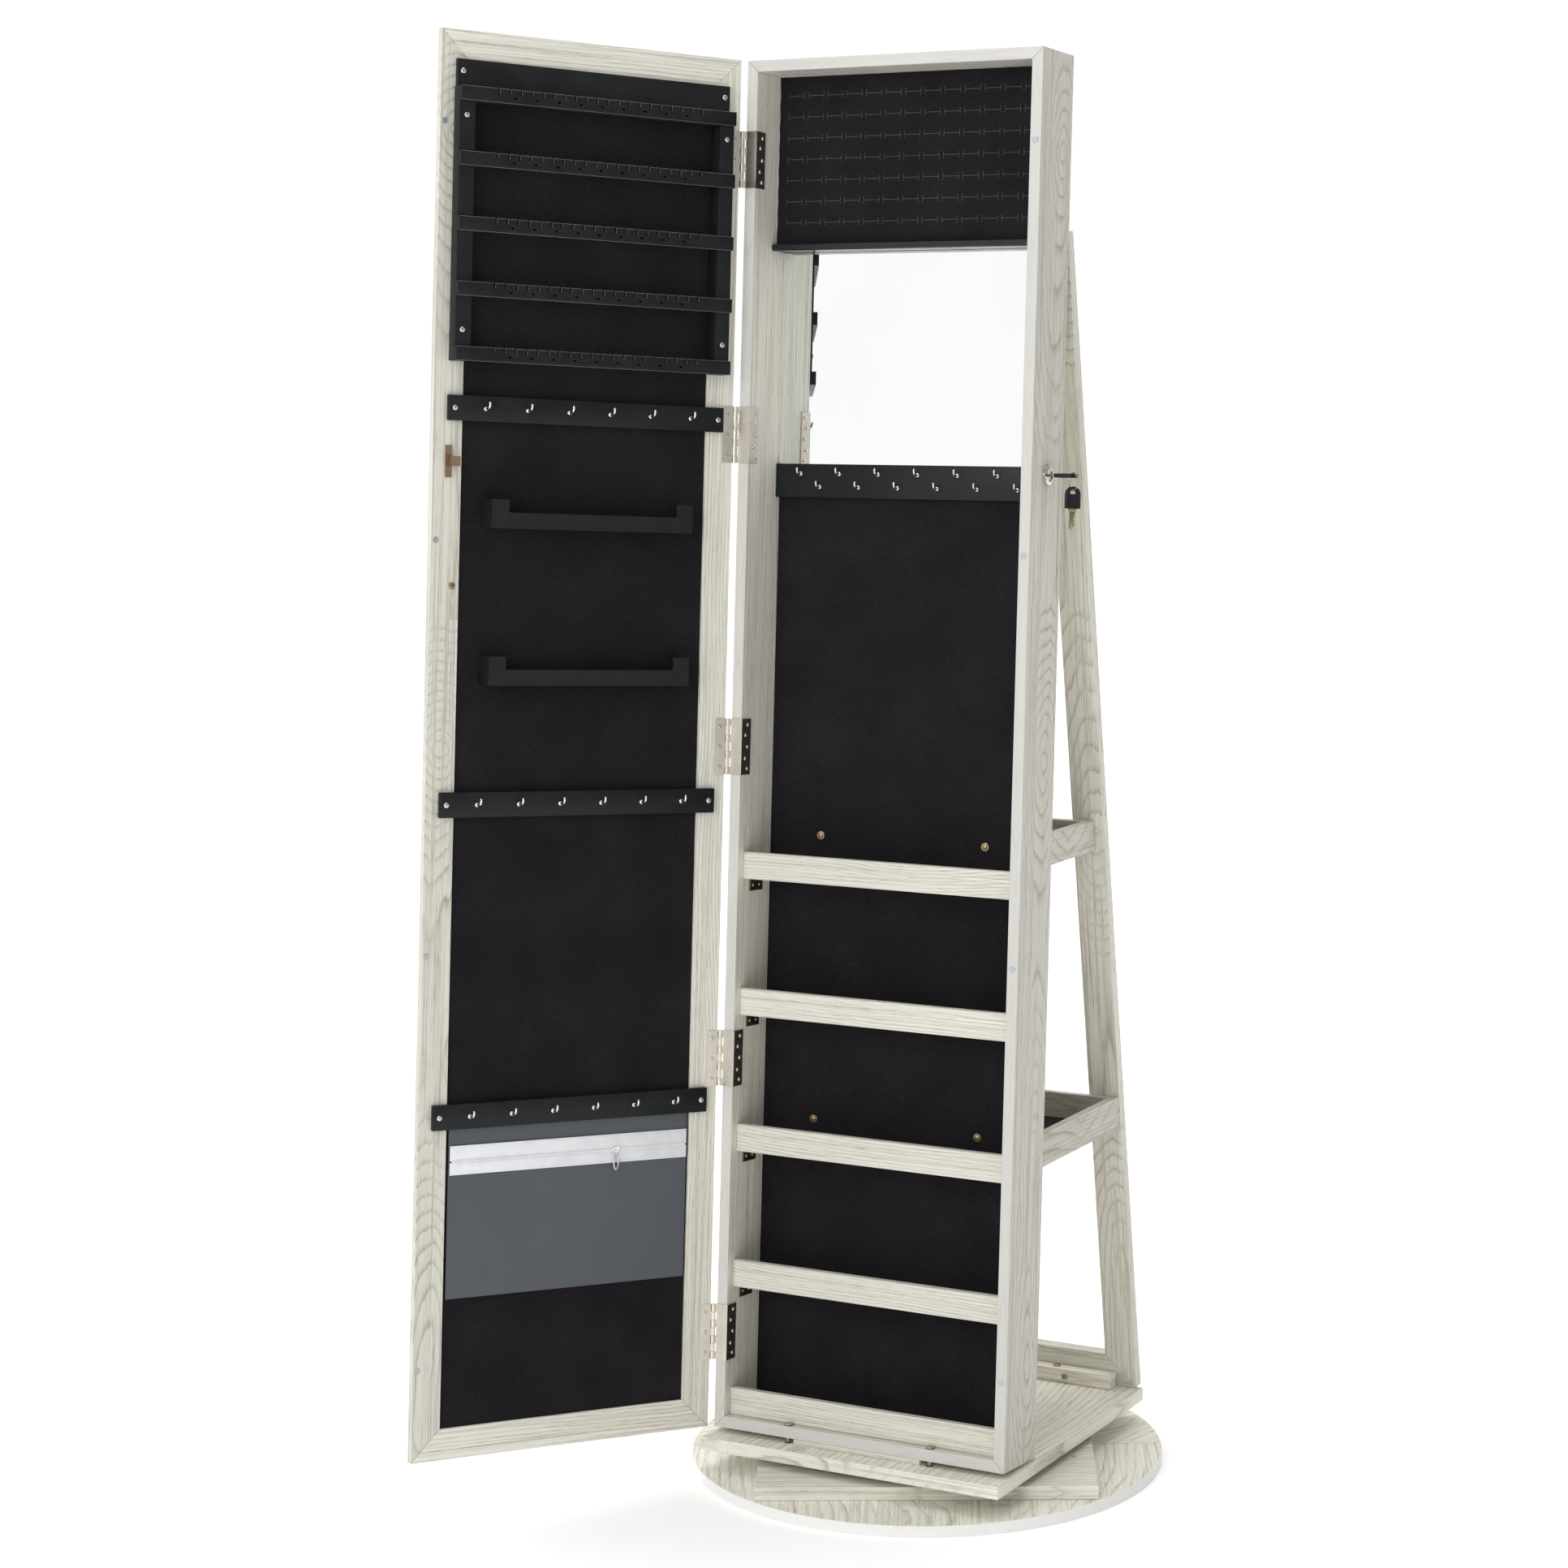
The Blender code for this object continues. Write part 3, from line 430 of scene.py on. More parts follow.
def tape_finish():
    """White zipper tape, woven in fine ribs along its length."""
    made = Finish("zipper_tape", (0.78, 0.79, 0.81), 0.85, specular=0.2)
    ribs = made.math("SINE", made.scaled(made.along(CAB_H), 2 * math.pi / 0.0011))
    weft = made.math("SINE", made.scaled(made.along(DOOR_U), 2 * math.pi / 0.0007))
    weave = made.scaled(ribs, weft)
    made.mottled(60.0, 2.0, (0.76, 0.77, 0.80), (0.84, 0.845, 0.86))
    made.bump(made.sum(made.scaled(weave, 0.5), made.scaled(ribs, 0.6)), 0.00010, 0.5)
    return made.material


# ---------------- shape building
def facing(where, point, normal):
    """A matrix whose origin is the point and whose +Z is the normal, both given in the frame `where`."""
    turn = Vector((0, 0, 1)).rotation_difference(Vector(normal)).to_matrix().to_4x4()
    return where @ Matrix.Translation(point) @ turn


def arc(centre, reach, start, end, steps):
    """Points (x, y) along an ellipse, from the start angle to the end angle."""
    points = []
    for step in range(steps + 1):
        angle = start + (end - start) * step / steps
        points.append((centre[0] + reach[0] * math.cos(angle), centre[1] + reach[1] * math.sin(angle)))
    return points


def oval(centre, reach, sides):
    """Points (x, y) round a whole ellipse."""
    return arc(centre, reach, 0.0, 2 * math.pi, sides)[:-1]


def circle(radius, sides):
    return oval((0.0, 0.0), (radius, radius), sides)


def border(rows):
    """What stands on the border of a grid, once round."""
    return rows[0] + [row[-1] for row in rows[1:]] + rows[-1][-2::-1] + [row[0] for row in rows[-2:0:-1]]


def cells(rows):
    """The four corners of each cell of a grid, in order round it."""
    for lower, upper in zip(rows, rows[1:]):
        for i in range(len(lower) - 1):
            yield lower[i], lower[i + 1], upper[i + 1], upper[i]


class Shape:
    """One piece's mesh, put together from simple solids in any frame."""

    def __init__(self):
        self.work = bmesh.new()

    def loop(self, points, at):
        return [self.work.verts.new(at @ Vector(point)) for point in points]

    def flat_loop(self, outline, z, at):
        """A loop of (x, y) points at one height."""
        return self.loop([(x, y, z) for x, y in outline], at)

    def bridge(self, first, second):
        count = len(first)
        for i in range(count):
            j = (i + 1) % count
            self.work.faces.new((first[i], first[j], second[j], second[i]))

    def skin(self, loops, closed=False):
        """Faces from each loop to the next, and over both ends unless the last loop meets the first."""
        for first, second in zip(loops, loops[1:]):
            self.bridge(first, second)
        if closed:
            self.bridge(loops[-1], loops[0])
        else:
            self.work.faces.new(loops[0])
            self.work.faces.new(loops[-1])

    def fill(self, *loops):
        """Triangles over the flat area between closed loops."""
        edges = []
        for loop in loops:
            for pair in zip(loop, loop[1:] + loop[:1]):
                edges.append(self.work.edges.get(pair) or self.work.edges.new(pair))
        bmesh.ops.triangle_fill(self.work, use_beauty=True, edges=edges)

    def prism(self, outline, low, high, at):
        """An outline of (x, y) points raised from z = low to z = high."""
        self.skin([self.flat_loop(outline, z, at) for z in (low, high)])

    def box(self, low, high, at):
        outline = [(low[0], low[1]), (high[0], low[1]), (high[0], high[1]), (low[0], high[1])]
        self.prism(outline, low[2], high[2], at)

    def lathe(self, profile, at, sides=24, closed=False):
        """A solid of revolution about +Z, from (r, z) points off the axis. A closed profile makes a ring."""
        self.skin([self.flat_loop(circle(radius, sides), z, at) for radius, z in profile], closed)

    def tube(self, points, radius, at, sides=12, closed=False):
        """A round bar along points that lie in one plane, with rounded ends."""
        points = [Vector(point) for point in points]
        count = len(points)
        plane = Vector((0, 0, 0))
        for i in range(1, count - 1):
            plane += (points[i] - points[i - 1]).cross(points[i + 1] - points[i])
        if plane.length < 1e-12:
            plane = (points[-1] - points[0]).orthogonal()
        plane.normalize()
        spots = []
        for i, point in enumerate(points):
            before = points[i - 1] if closed else points[max(i - 1, 0)]
            after = points[(i + 1) % count] if closed else points[min(i + 1, count - 1)]
            spots.append((point, (after - before).normalized(), radius))
        if not closed:
            start, first, _ = spots[0]
            end, last, _ = spots[-1]
            head = [(start - first * radius * s, first, radius * c) for s, c in ((0.92, 0.38), (0.62, 0.78))]
            tail = [(end + last * radius * s, last, radius * c) for s, c in ((0.62, 0.78), (0.92, 0.38))]
            spots = head + spots + tail
        loops = []
        for point, along, size in spots:
            other = along.cross(plane)
            loops.append(self.loop([point + plane * x + other * y for x, y in circle(size, sides)], at))
        self.skin(loops, closed)

    def screw(self, where, place, normal, radius, height=None):
        """A domed screw head with a cross recess, standing on a face whose normal is given."""
        at = facing(where, place, normal)
        tall = height or radius * 0.46
        profile = ((1.0, -0.25), (1.0, 0.10), (0.95, 0.48), (0.84, 0.80), (0.70, 1.0))
        rings = [self.flat_loop(circle(share * radius, 24), rise * tall, at) for share, rise in profile]
        self.work.faces.new(rings[0])
        for first, second in zip(rings, rings[1:]):
            self.bridge(first, second)
        arm, half = 0.50 * radius, 0.12 * radius
        quarter = [(arm, -half), (arm, half), (half, half)]
        cross = []
        for _ in range(4):
            cross += quarter
            quarter = [(-y, x) for x, y in quarter]
        rim = self.flat_loop(cross, tall * 1.04, at)
        pit = self.flat_loop([(x * 0.8, y * 0.8) for x, y in cross], tall * 0.25, at)
        self.bridge(rim, pit)
        self.work.faces.new(pit)
        self.fill(rings[-1], rim)

    def done(self, name, finish, body, slot, **options):
        bmesh.ops.recalc_face_normals(self.work, faces=self.work.faces)
        return settle(name, mesh_of(self.work, name), finish, body, slot, **options)


def settle(name, mesh, finish, body, slot, bevel=0.0, sharp=32.0, replaces=()):
    """Puts a piece in the scene, with its finish, on its body."""
    made = add_object(name, mesh)
    for one in finish if isinstance(finish, tuple) else (finish,):
        mesh.materials.append(one)
    if bevel:
        change = made.modifiers.new("edges", "BEVEL")
        change.width = bevel
        change.segments = 2
        change.limit_method = "ANGLE"
        change.angle_limit = math.radians(30)
        made.data = evaluated(made)
        made.modifiers.clear()
    made.data.shade_smooth()
    made.data.set_sharp_from_angle(angle=math.radians(sharp))
    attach(made, body)
    if replaces:
        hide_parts(*replaces)
    return made


def evaluated(made):
    """A new mesh of an object as its modifiers shape it."""
    bpy.context.view_layer.update()
    return bpy.data.meshes.new_from_object(made.evaluated_get(bpy.context.evaluated_depsgraph_get()))


def dress(names, finish):
    for name in names:
        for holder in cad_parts[name].material_slots:
            holder.material = finish


# ---------------- the wood of every board
X_AXIS = Vector((1, 0, 0))
Y_AXIS = Vector((0, 1, 0))
CAB_X = CAB.to_3x3() @ X_AXIS
CAB_D = CAB.to_3x3() @ Y_AXIS
CAB_H = CAB.to_3x3() @ Vector((0, 0, 1))
DOOR_U = DOOR.to_3x3() @ X_AXIS
REAR_S = REAR.to_3x3() @ Vector((0, 0, 1))
SQUARE_X = SQUARE.to_3x3() @ X_AXIS
SQUARE_Y = SQUARE.to_3x3() @ Y_AXIS
EDGE_BANDED = ("cabinet_left_side", "cabinet_right_side", "cabinet_bottom", "cabinet_top")


def middle(node):
    low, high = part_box(node)
    return (low + high) / 2


def dress_wood():
    """Each board: its grain's direction, the direction across it, a seed, and its figure.

    The figure is the rings' width, the heart's offset from the middle, how far it wanders, and the shade,
    which is painted light and shade: each board is made lighter or darker as the light falls on it.
    """
    front = CAB_D.dot(CAB @ Vector((0, 0.0009, 0)))
    # The last column paints light and shade: boards the light misses, such as the right side and the trays,
    # are darker; the inner left wall, door rails, plates and batten are lighter.
    boards = (
        ("cabinet_left_side", CAB_H, CAB_D, 3.0, 0.0046, 0.06, 0.03, 1.20),
        ("cabinet_right_side", CAB_H, CAB_D, 11.0, 0.0060, 0.012, 0.06, 0.88),
        ("cabinet_bottom", CAB_X, CAB_D, 5.0, 0.0060, 0.02, 0.03, 1.0),
        ("cabinet_top", CAB_X, CAB_D, 7.0, 0.0060, 0.02, 0.03, 1.0),
        ("cabinet_back_panel", CAB_H, CAB_X, 9.0, 0.0110, 0.04, 0.09, 1.0),
        ("bottom_rail", CAB_X, CAB_H, 13.0, 0.0032, 0.05, 0.02, 1.03),
        ("shelf_a", CAB_X, CAB_H, 17.0, 0.0032, 0.06, 0.02, 1.0),
        ("shelf_b", CAB_X, CAB_H, 19.0, 0.0032, 0.05, 0.02, 1.04),
        ("shelf_c", CAB_X, CAB_H, 23.0, 0.0034, 0.06, 0.03, 1.0),
        ("shelf_d", CAB_X, CAB_H, 29.0, 0.0030, 0.07, 0.02, 1.0),
        ("cabinet_foot_wedge", CAB_X, CAB_H, 31.0, 0.0060, 0.04, 0.02, 1.1),
        ("door_hinge_stile", CAB_H, DOOR_U, 37.0, 0.0042, 0.07, 0.02, 1.12),
        ("door_lock_stile", CAB_H, DOOR_U, 41.0, 0.0056, 0.000, 0.07, 0.97),
        ("door_bottom_rail", DOOR_U, CAB_H, 43.0, 0.0044, 0.05, 0.03, 1.15),
        ("door_top_rail", DOOR_U, CAB_H, 47.0, 0.0044, 0.05, 0.03, 1.12),
        ("rear_frame_left_leg", REAR_S, X_AXIS, 53.0, 0.0056, 0.01, 0.05, 1.05),
        ("rear_frame_right_leg", REAR_S, X_AXIS, 59.0, 0.0056, 0.01, 0.05, 1.05),
        ("rear_frame_bottom_rail", X_AXIS, REAR_S, 61.0, 0.0056, 0.01, 0.04, 1.0),
        ("rear_frame_top_rail", X_AXIS, REAR_S, 67.0, 0.0056, 0.01, 0.04, 1.05),
        ("rear_batten", X_AXIS, Y_AXIS, 71.0, 0.0055, 0.04, 0.02, 1.25),
        ("swivel_plate", Y_AXIS, X_AXIS, 73.0, 0.0085, -0.06, 0.12, 1.18),
        ("base_square_plate", SQUARE_X, SQUARE_Y, 79.0, 0.0080, 0.02, 0.12, 1.18),
        ("upper_rear_tray", X_AXIS, Y_AXIS, 97.0, 0.0044, 0.05, 0.02, 0.86),
        ("lower_rear_tray", X_AXIS, Y_AXIS, 101.0, 0.0044, 0.05, 0.02, 0.80),
    )
    for node, grain, across, seed, *figure in boards:
        banded = (CAB_D, front) if node in EDGE_BANDED else None
        dress([node], ash("ash_" + node, grain, across, middle(node), seed, *figure, banded))
    dress(["base_disc"], disc_finish())


def disc_finish():
    """The disc's veneer changes direction at a joint line under the square plate; its rim is edge banded."""
    made = Finish("ash_base_disc", ASH_LIGHT, 0.5, specular=0.35)
    front = ash_field(made, SQUARE_Y, SQUARE_X, (0.02, 0, 0), 83.0, 0.0120, 0.05, 0.12)
    slant = Matrix.Rotation(math.radians(62), 3, "Z")
    back = ash_field(made, slant @ X_AXIS, slant @ Y_AXIS, (0, 0, 0), 89.0, 0.0110, 0.03, 0.10)
    y = made.along(SQUARE_Y)
    behind = made.math("GREATER_THAN", y, 0.0)
    seam = made.math("LESS_THAN", made.math("ABSOLUTE", y), 0.0005)
    # 1.26 is painted light: the whole disc is made lighter, as the light falls brightly on its top.
    tone, height = ash_tone(made, [made.pick(behind, near, far) for near, far in zip(front, back)], 1.26)
    tone = made.mix(made.scaled(seam, 0.6), tone, ASH_DARK)
    reach = made.length(made.stretched(made.point, (1.0, 1.0, 0.0)))
    rim = made.math("GREATER_THAN", reach, DISC_RADIUS - 0.0011)
    tone = made.mix(made.scaled(rim, 0.9), tone, (0.86, 0.86, 0.84))
    height = made.scaled(height, made.span(rim, 0.0, 1.0, 1.0, 0.1))
    made.colour(tone)
    made.bump(height, EMBOSSING, 0.75)
    return made.material


make_camera()
make_studio()
dress_wood()
VELVET = velvet_finish("black_velvet", (0.0098, 0.0088, 0.0104), 2.9)
SLIT = velvet_finish("cut_foam", (0.105, 0.098, 0.106), 1.8)
PLASTIC = plastic_finish("black_plastic", (0.0085, 0.0096, 0.0104), 0.40, 0.22)
# A lighter plastic that paints the highlights on the rack's edges.
EDGE_HIGHLIGHT = plastic_finish("painted_edge_highlight", (0.095, 0.098, 0.105), 0.30, 0.45)
GLOSS = plastic_finish("gloss_black", (0.0050, 0.0050, 0.0065), 0.22, 0.45)
NICKEL = metal_finish("satin_nickel", (0.80, 0.75, 0.66), 0.27)
HOOK = metal_finish("hook_nickel", (0.82, 0.79, 0.73), 0.20)
SILVER = metal_finish("bright_nickel", (0.86, 0.86, 0.87), 0.28)
KEY_BRASS = metal_finish("key_brass", (0.36, 0.31, 0.19), 0.26)
SCREW = metal_finish("screw_nickel", (0.66, 0.62, 0.55), 0.20)
BOLT = metal_finish("bolt_nickel", (0.40, 0.36, 0.30), 0.26)
CHROME = metal_finish("chrome", (0.62, 0.61, 0.60), 0.05, wear=0.03)
STEEL = metal_finish("zinc_steel", (0.50, 0.51, 0.53), 0.34)
BRASS = metal_finish("brass", (0.52, 0.40, 0.22), 0.28)
BRONZE = metal_finish("bronze", (0.36, 0.25, 0.17), 0.34)
MIRROR = mirror_finish("mirror_glass")
FILM = film_finish()
TAPE = tape_finish()

dress(["cabinet_back_lining", "door_lining"], VELVET)
dress(["cosmetics_holder_1", "cosmetics_holder_2"], PLASTIC)
dress(["ring_pad_rail"], GLOSS)
dress(["interior_mirror", "door_mirror"], MIRROR)
dress([f"{side}_hinge_leaf_{i}" for side in ("cabinet", "door") for i in range(1, 6)], NICKEL)
dress(["bearing_lower_ring", "bearing_upper_ring"], STEEL)
dress(["cabinet_bolt_left", "cabinet_bolt_right"], BOLT)
dress(["strike_plate"], BRONZE)
dress(["lock_cylinder"], CHROME)
dress(["lock_plug_and_cam"], NICKEL)


# ---------------- fittings on the door
STRIPS = (1.1308, 0.7020, 0.3625)
STRIP_WIDTH, STRIP_HEIGHT, STRIP_THICK = 0.338, 0.0275, 0.006
STRIP_HOOKS, STRIP_PITCH = 6, 0.0503
DOOR_MIDDLE = HALF
OUT = (0, 1, 0)
DOOR_SCREW, HINGE_SCREW = 0.0033, 0.0024
DOOR_HOOK = {"outward": 1, "reach": 0.0115, "rise": 0.0065, "radius": 0.00135}
BOARD_HOOK = {"outward": -1, "reach": 0.0100, "rise": 0.0055, "radius": 0.0013}


def hook_path(x, base, z, outward, reach, rise):
    """Straight out of the board and turned up at the end."""
    bend = min(reach * 0.42, rise * 0.8)
    turn = arc((reach - bend, bend), (bend, bend), -math.pi / 2, 0.0, 5)[1:]
    side = [(-0.001, 0.0), (reach * 0.45, 0.0), *turn, (reach, rise)]
    return [(x, base + outward * depth, z + height) for depth, height in side]


def add_hook(shape, where, x, base, z, outward, reach, rise, radius):
    """One wire hook with its collar, on a board whose face is at depth `base`."""
    shape.tube(hook_path(x, base, z, outward, reach, rise), radius, where)
    collar = [(0.0026, -0.0004), (0.0028, 0.0006), (0.0026, 0.0016), (0.0020, 0.0024), (0.0008, 0.0029)]
    shape.lathe(collar, facing(where, (x, base, z), (0, outward, 0)), 18)


def make_strips():
    """Three hook strips with a screw at each end, and the screws of the rack above them."""
    left = DOOR_MIDDLE - STRIP_WIDTH / 2
    screws, hooks = Shape(), Shape()
    for i, low in enumerate(STRIPS, 1):
        board = Shape()
        board.box((left, 0.0003, low), (left + STRIP_WIDTH, STRIP_THICK, low + STRIP_HEIGHT), DOOR)
        stands_for = [f"necklace_strip_{i}"]
        board.done(f"hook_strip_{i}", PLASTIC, "door", "black_plastic", bevel=0.0007, replaces=stands_for)
        height = low + STRIP_HEIGHT / 2
        for k in range(STRIP_HOOKS):
            u = DOOR_MIDDLE + STRIP_PITCH * (k - (STRIP_HOOKS - 1) / 2)
            add_hook(hooks, DOOR, u, STRIP_THICK, height, **DOOR_HOOK)
        for u in (left + 0.0075, left + STRIP_WIDTH - 0.0075):
            screws.screw(DOOR, (u, STRIP_THICK, height), OUT, DOOR_SCREW)
    for u, v, height in ((0.0235, 0.0055, 1.505), (0.0245, 0.015, 1.4575), (0.0245, 0.015, 1.228)):
        screws.screw(DOOR, (u, v, height), OUT, DOOR_SCREW)
        screws.screw(DOOR, (2 * DOOR_MIDDLE - u, v, height), OUT, DOOR_SCREW)
    screws.done("door_screws", SCREW, "door", "satin_nickel")
    hooks.done("door_hooks", HOOK, "door", "satin_nickel")


BAR_TOPS = [1.4880 - 0.0695 * i for i in range(5)]
SLITS, SLIT_PITCH = 20, 0.0131
FIRST_SLIT = DOOR_MIDDLE - SLIT_PITCH * (SLITS - 1) / 2
HOLE_RADIUS = 0.0022
STILE = 0.034
RACK_HALF = 0.1675
# The radius of the beads that paint the highlights on the rack's edges.
HIGHLIGHT_RADIUS = 0.00028


def make_rack():
    """The solid's own shape with softened edges and the half-round ear-wire holes."""
    work = bmesh.new()
    work.from_mesh(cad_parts["earring_rack"].data)
    bmesh.ops.remove_doubles(work, verts=work.verts, dist=0.00001)
    bmesh.ops.dissolve_limit(work, angle_limit=math.radians(1), verts=work.verts, edges=work.edges)
    holes = Shape()
    for top in BAR_TOPS:
        for k in range(1, SLITS - 1, 2):
            centre = (FIRST_SLIT + (k + 0.5) * SLIT_PITCH, top - 0.0082)
            outline = arc(centre, (HOLE_RADIUS, HOLE_RADIUS), math.pi, 2 * math.pi, 8)
            holes.skin([holes.loop([(u, v, h) for u, h in outline], DOOR) for v in (0.0125, 0.0215)])
    bmesh.ops.recalc_face_normals(holes.work, faces=holes.work.faces)
    tool = add_object("cutter", mesh_of(holes.work, "cutter"))
    blank = add_object("blank", mesh_of(work, "earring_bars"))
    change = blank.modifiers.new("holes", "BOOLEAN")
    change.operation = "DIFFERENCE"
    change.object = tool
    baked = evaluated(blank)
    baked.materials.clear()
    for one in (tool, blank):
        bpy.data.objects.remove(one)
    settle("earring_bars", baked, PLASTIC, "door", "black_plastic", bevel=0.00035, replaces=["earring_rack"])
    make_rack_lips()
    make_rack_edge_highlights()


def make_rack_lips():
    """Thin walls that reach from the rack's flanges back to the lining, so no wood shows beside it."""
    lips = Shape()
    thick = 0.0009
    for u in (STILE + GAP, 2 * DOOR_MIDDLE - STILE - GAP - thick):
        lips.box((u, -0.0026, BAR_TOPS[-1]), (u + thick, 0.0137, BAR_TOPS[0]), DOOR)
    lips.done("rack_lips", PLASTIC, "door", "black_plastic", bevel=0.0003)


def make_rack_edge_highlights():
    """Painted highlights: lighter beads on the edges of the slots and of the bars' tops and lower edges."""
    edges = Shape()
    half, face, deep = 0.0009, 0.0199, 0.0054
    outer, inner = DOOR_MIDDLE - RACK_HALF, DOOR_MIDDLE + RACK_HALF

    def highlight_line(*points):
        edges.tube([(u, face, height) for u, height in points], HIGHLIGHT_RADIUS, DOOR, 6)

    for top in BAR_TOPS:
        low = top - 0.0150
        highlight_line((outer, low), (DOOR_MIDDLE, low), (inner, low))
        last = FIRST_SLIT + (SLITS - 1) * SLIT_PITCH + half
        highlight_line((inner, top), ((inner + last) / 2, top), (last, top))
        for k in range(SLITS):
            near = FIRST_SLIT + k * SLIT_PITCH - half
            far = max(near - SLIT_PITCH + 2 * half, outer) if k else outer
            highlight_line((near, top - deep), (near, top), (far, top))
    edges.done("rack_edge_highlights", EDGE_HIGHLIGHT, "door", "black_plastic")


def make_magnets():
    """Catch magnets: steel discs sunk in pale cups, four on the cabinet and four on the door."""
    cup = [(0.0034, -0.0004), (0.0036, 0.00015), (0.0033, 0.00035)]
    disc = [(0.0029, 0.00035), (0.0027, 0.00015)]
    for body, where, x, normal, heights in (
        ("cabinet", CAB, 0.1775, (0, -1, 0), (1.450, 1.001, 0.552, 0.100)),
        ("door", DOOR, 0.3625, OUT, (1.451, 1.002, 0.552, 0.101)),
    ):
        magnets = Shape()
        for height in heights:
            magnets.lathe(cup + disc, facing(where, (x, 0, height), normal), 28)
        magnets.done(f"{body}_magnets", STEEL, body, "zinc_steel")
    stud = Shape()
    stud.screw(DOOR, (0.3425, 0, 0.9527), OUT, 0.0038)
    stud.done("door_stud", BRONZE, "door", "bronze")


def make_hinge_screws():
    """Three flat screws in each door leaf, and five in a zigzag in each leaf on the cabinet's inner wall.

    The flat heads leave room for the cabinet's leaf when the door is shut.
    """
    leaf_face, wall_face, flat_head = 0.0011, -0.1695, 0.00014
    zigzag = ((0.0248, 0.0125), (0.0132, 0.0080), (0.0, 0.0125), (-0.0132, 0.0080), (-0.0248, 0.0125))
    on_door, on_cabinet = Shape(), Shape()
    for height in HINGE_HEIGHTS:
        for rise in (-0.023, 0.0, 0.023):
            place = (0.0072, leaf_face, height + rise)
            on_door.screw(DOOR, place, OUT, HINGE_SCREW, flat_head)
        for rise, depth in zigzag:
            place = (wall_face, depth, height + rise)
            on_cabinet.screw(CAB, place, (1, 0, 0), HINGE_SCREW)
    on_door.done("door_hinge_screws", SCREW, "door", "satin_nickel")
    on_cabinet.done("cabinet_hinge_screws", SCREW, "cabinet", "satin_nickel")


def make_pocket():
    """A stretched film pocket with a zipper tape across its top."""
    left, right, low, high = 0.037, 0.331, 0.176, 0.3615
    across, up, thick = 72, 48, 0.0003

    def bulge(s, t):
        lift = 0.0010 * math.sin(math.pi * s) * math.sin(math.pi * min(1.0, t * 1.15))
        ripple = noise.noise(Vector((s * 5.0, t * 3.0, 4.2))) * 0.0007
        fold = noise.noise(Vector((s * 2.0 + t * 6.0, t * 1.5, 9.1))) * 0.0006
        rim = min(1.0, 6 * min(s, 1 - s), 6 * t + 0.1, 6 * (1 - t) + 0.1)
        return -0.0004 + lift + (ripple + fold) * rim

    def spot(s, t):
        return (left + (right - left) * s, bulge(s, t), low + (high - low) * t)

    film = Shape()
    grid = [[spot(i / across, j / up) for i in range(across + 1)] for j in range(up + 1)]
    front = [film.loop(row, DOOR) for row in grid]
    back = [film.loop([(u, v - thick, h) for u, v, h in row], DOOR) for row in grid]
    for corners in (*cells(front), *cells(back)):
        film.work.faces.new(corners)
    film.bridge(border(front), border(back))
    sheet = film.done("pocket_film", FILM, "door", "pocket_film", sharp=60, replaces=["zip_pocket"])
    tape = Shape()
    for foot, head in ((0.3120, 0.3256), (0.3274, 0.3440)):
        band = (foot, head, 0.0010, 0.0017)
        low_rib = (foot + 0.0012, foot + 0.0020, 0.0017, 0.0020)
        high_rib = (head - 0.0020, head - 0.0012, 0.0017, 0.0020)
        for start, end, base, face in (band, low_rib, high_rib):
            tape.box((left + 0.001, base, start), (right - 0.001, face, end), DOOR)
    tape = tape.done("zipper_tape", TAPE, "door", "pocket_film", bevel=0.0002)
    teeth = Shape()
    pitch, wide, tall = 0.0021, 0.0011, 0.0027
    for k in range(int((right - left - 0.006) / pitch)):
        for u, start in ((left + 0.003 + k * pitch, 0.3245), (left + 0.003 + (k + 0.5) * pitch, 0.3258)):
            teeth.box((u, 0.0012, start), (u + wide, 0.0025, start + tall), DOOR)
    teeth = teeth.done("zipper_teeth", TAPE, "door", "pocket_film")
    make_slider()


def make_slider():
    """The zip's slider: a pointed body in two steps, the link on it, and its long oval tab."""
    u, height = 0.1283, 0.3265
    slider = Shape()
    half = [(-0.0040, 0.0026), (-0.0026, 0.0034), (0.0034, 0.0024)]
    outline = [(x, -y) for x, y in half] + [(0.0044, 0.0)] + half[::-1]
    at = facing(DOOR, (u, 0, height), OUT)
    slider.prism(outline, 0.0026, 0.0033, at)
    slider.prism([(x * 0.8, y * 0.8) for x, y in outline], 0.0033, 0.0037, at)
    link = oval((u, height - 0.0030), (0.0024, 0.0034), 20)
    slider.tube([(x, 0.0046, z) for x, z in link], 0.0005, DOOR, 8, closed=True)
    centre = (u, height - 0.0128)
    tab = arc(centre, (0.0030, 0.0062), 0.0, math.pi, 14)
    tab += arc(centre, (0.0030, 0.0090), math.pi, 2 * math.pi, 14)[1:-1]
    slider.tube([(x, 0.0048, z) for x, z in tab], 0.0010, DOOR, 8, closed=True)
    slider.done("zipper_slider", SILVER, "zip", "satin_nickel", replaces=["zip_slider"])


# ---------------- fittings in the cabinet
SLIT_DEPTH = 0.0004


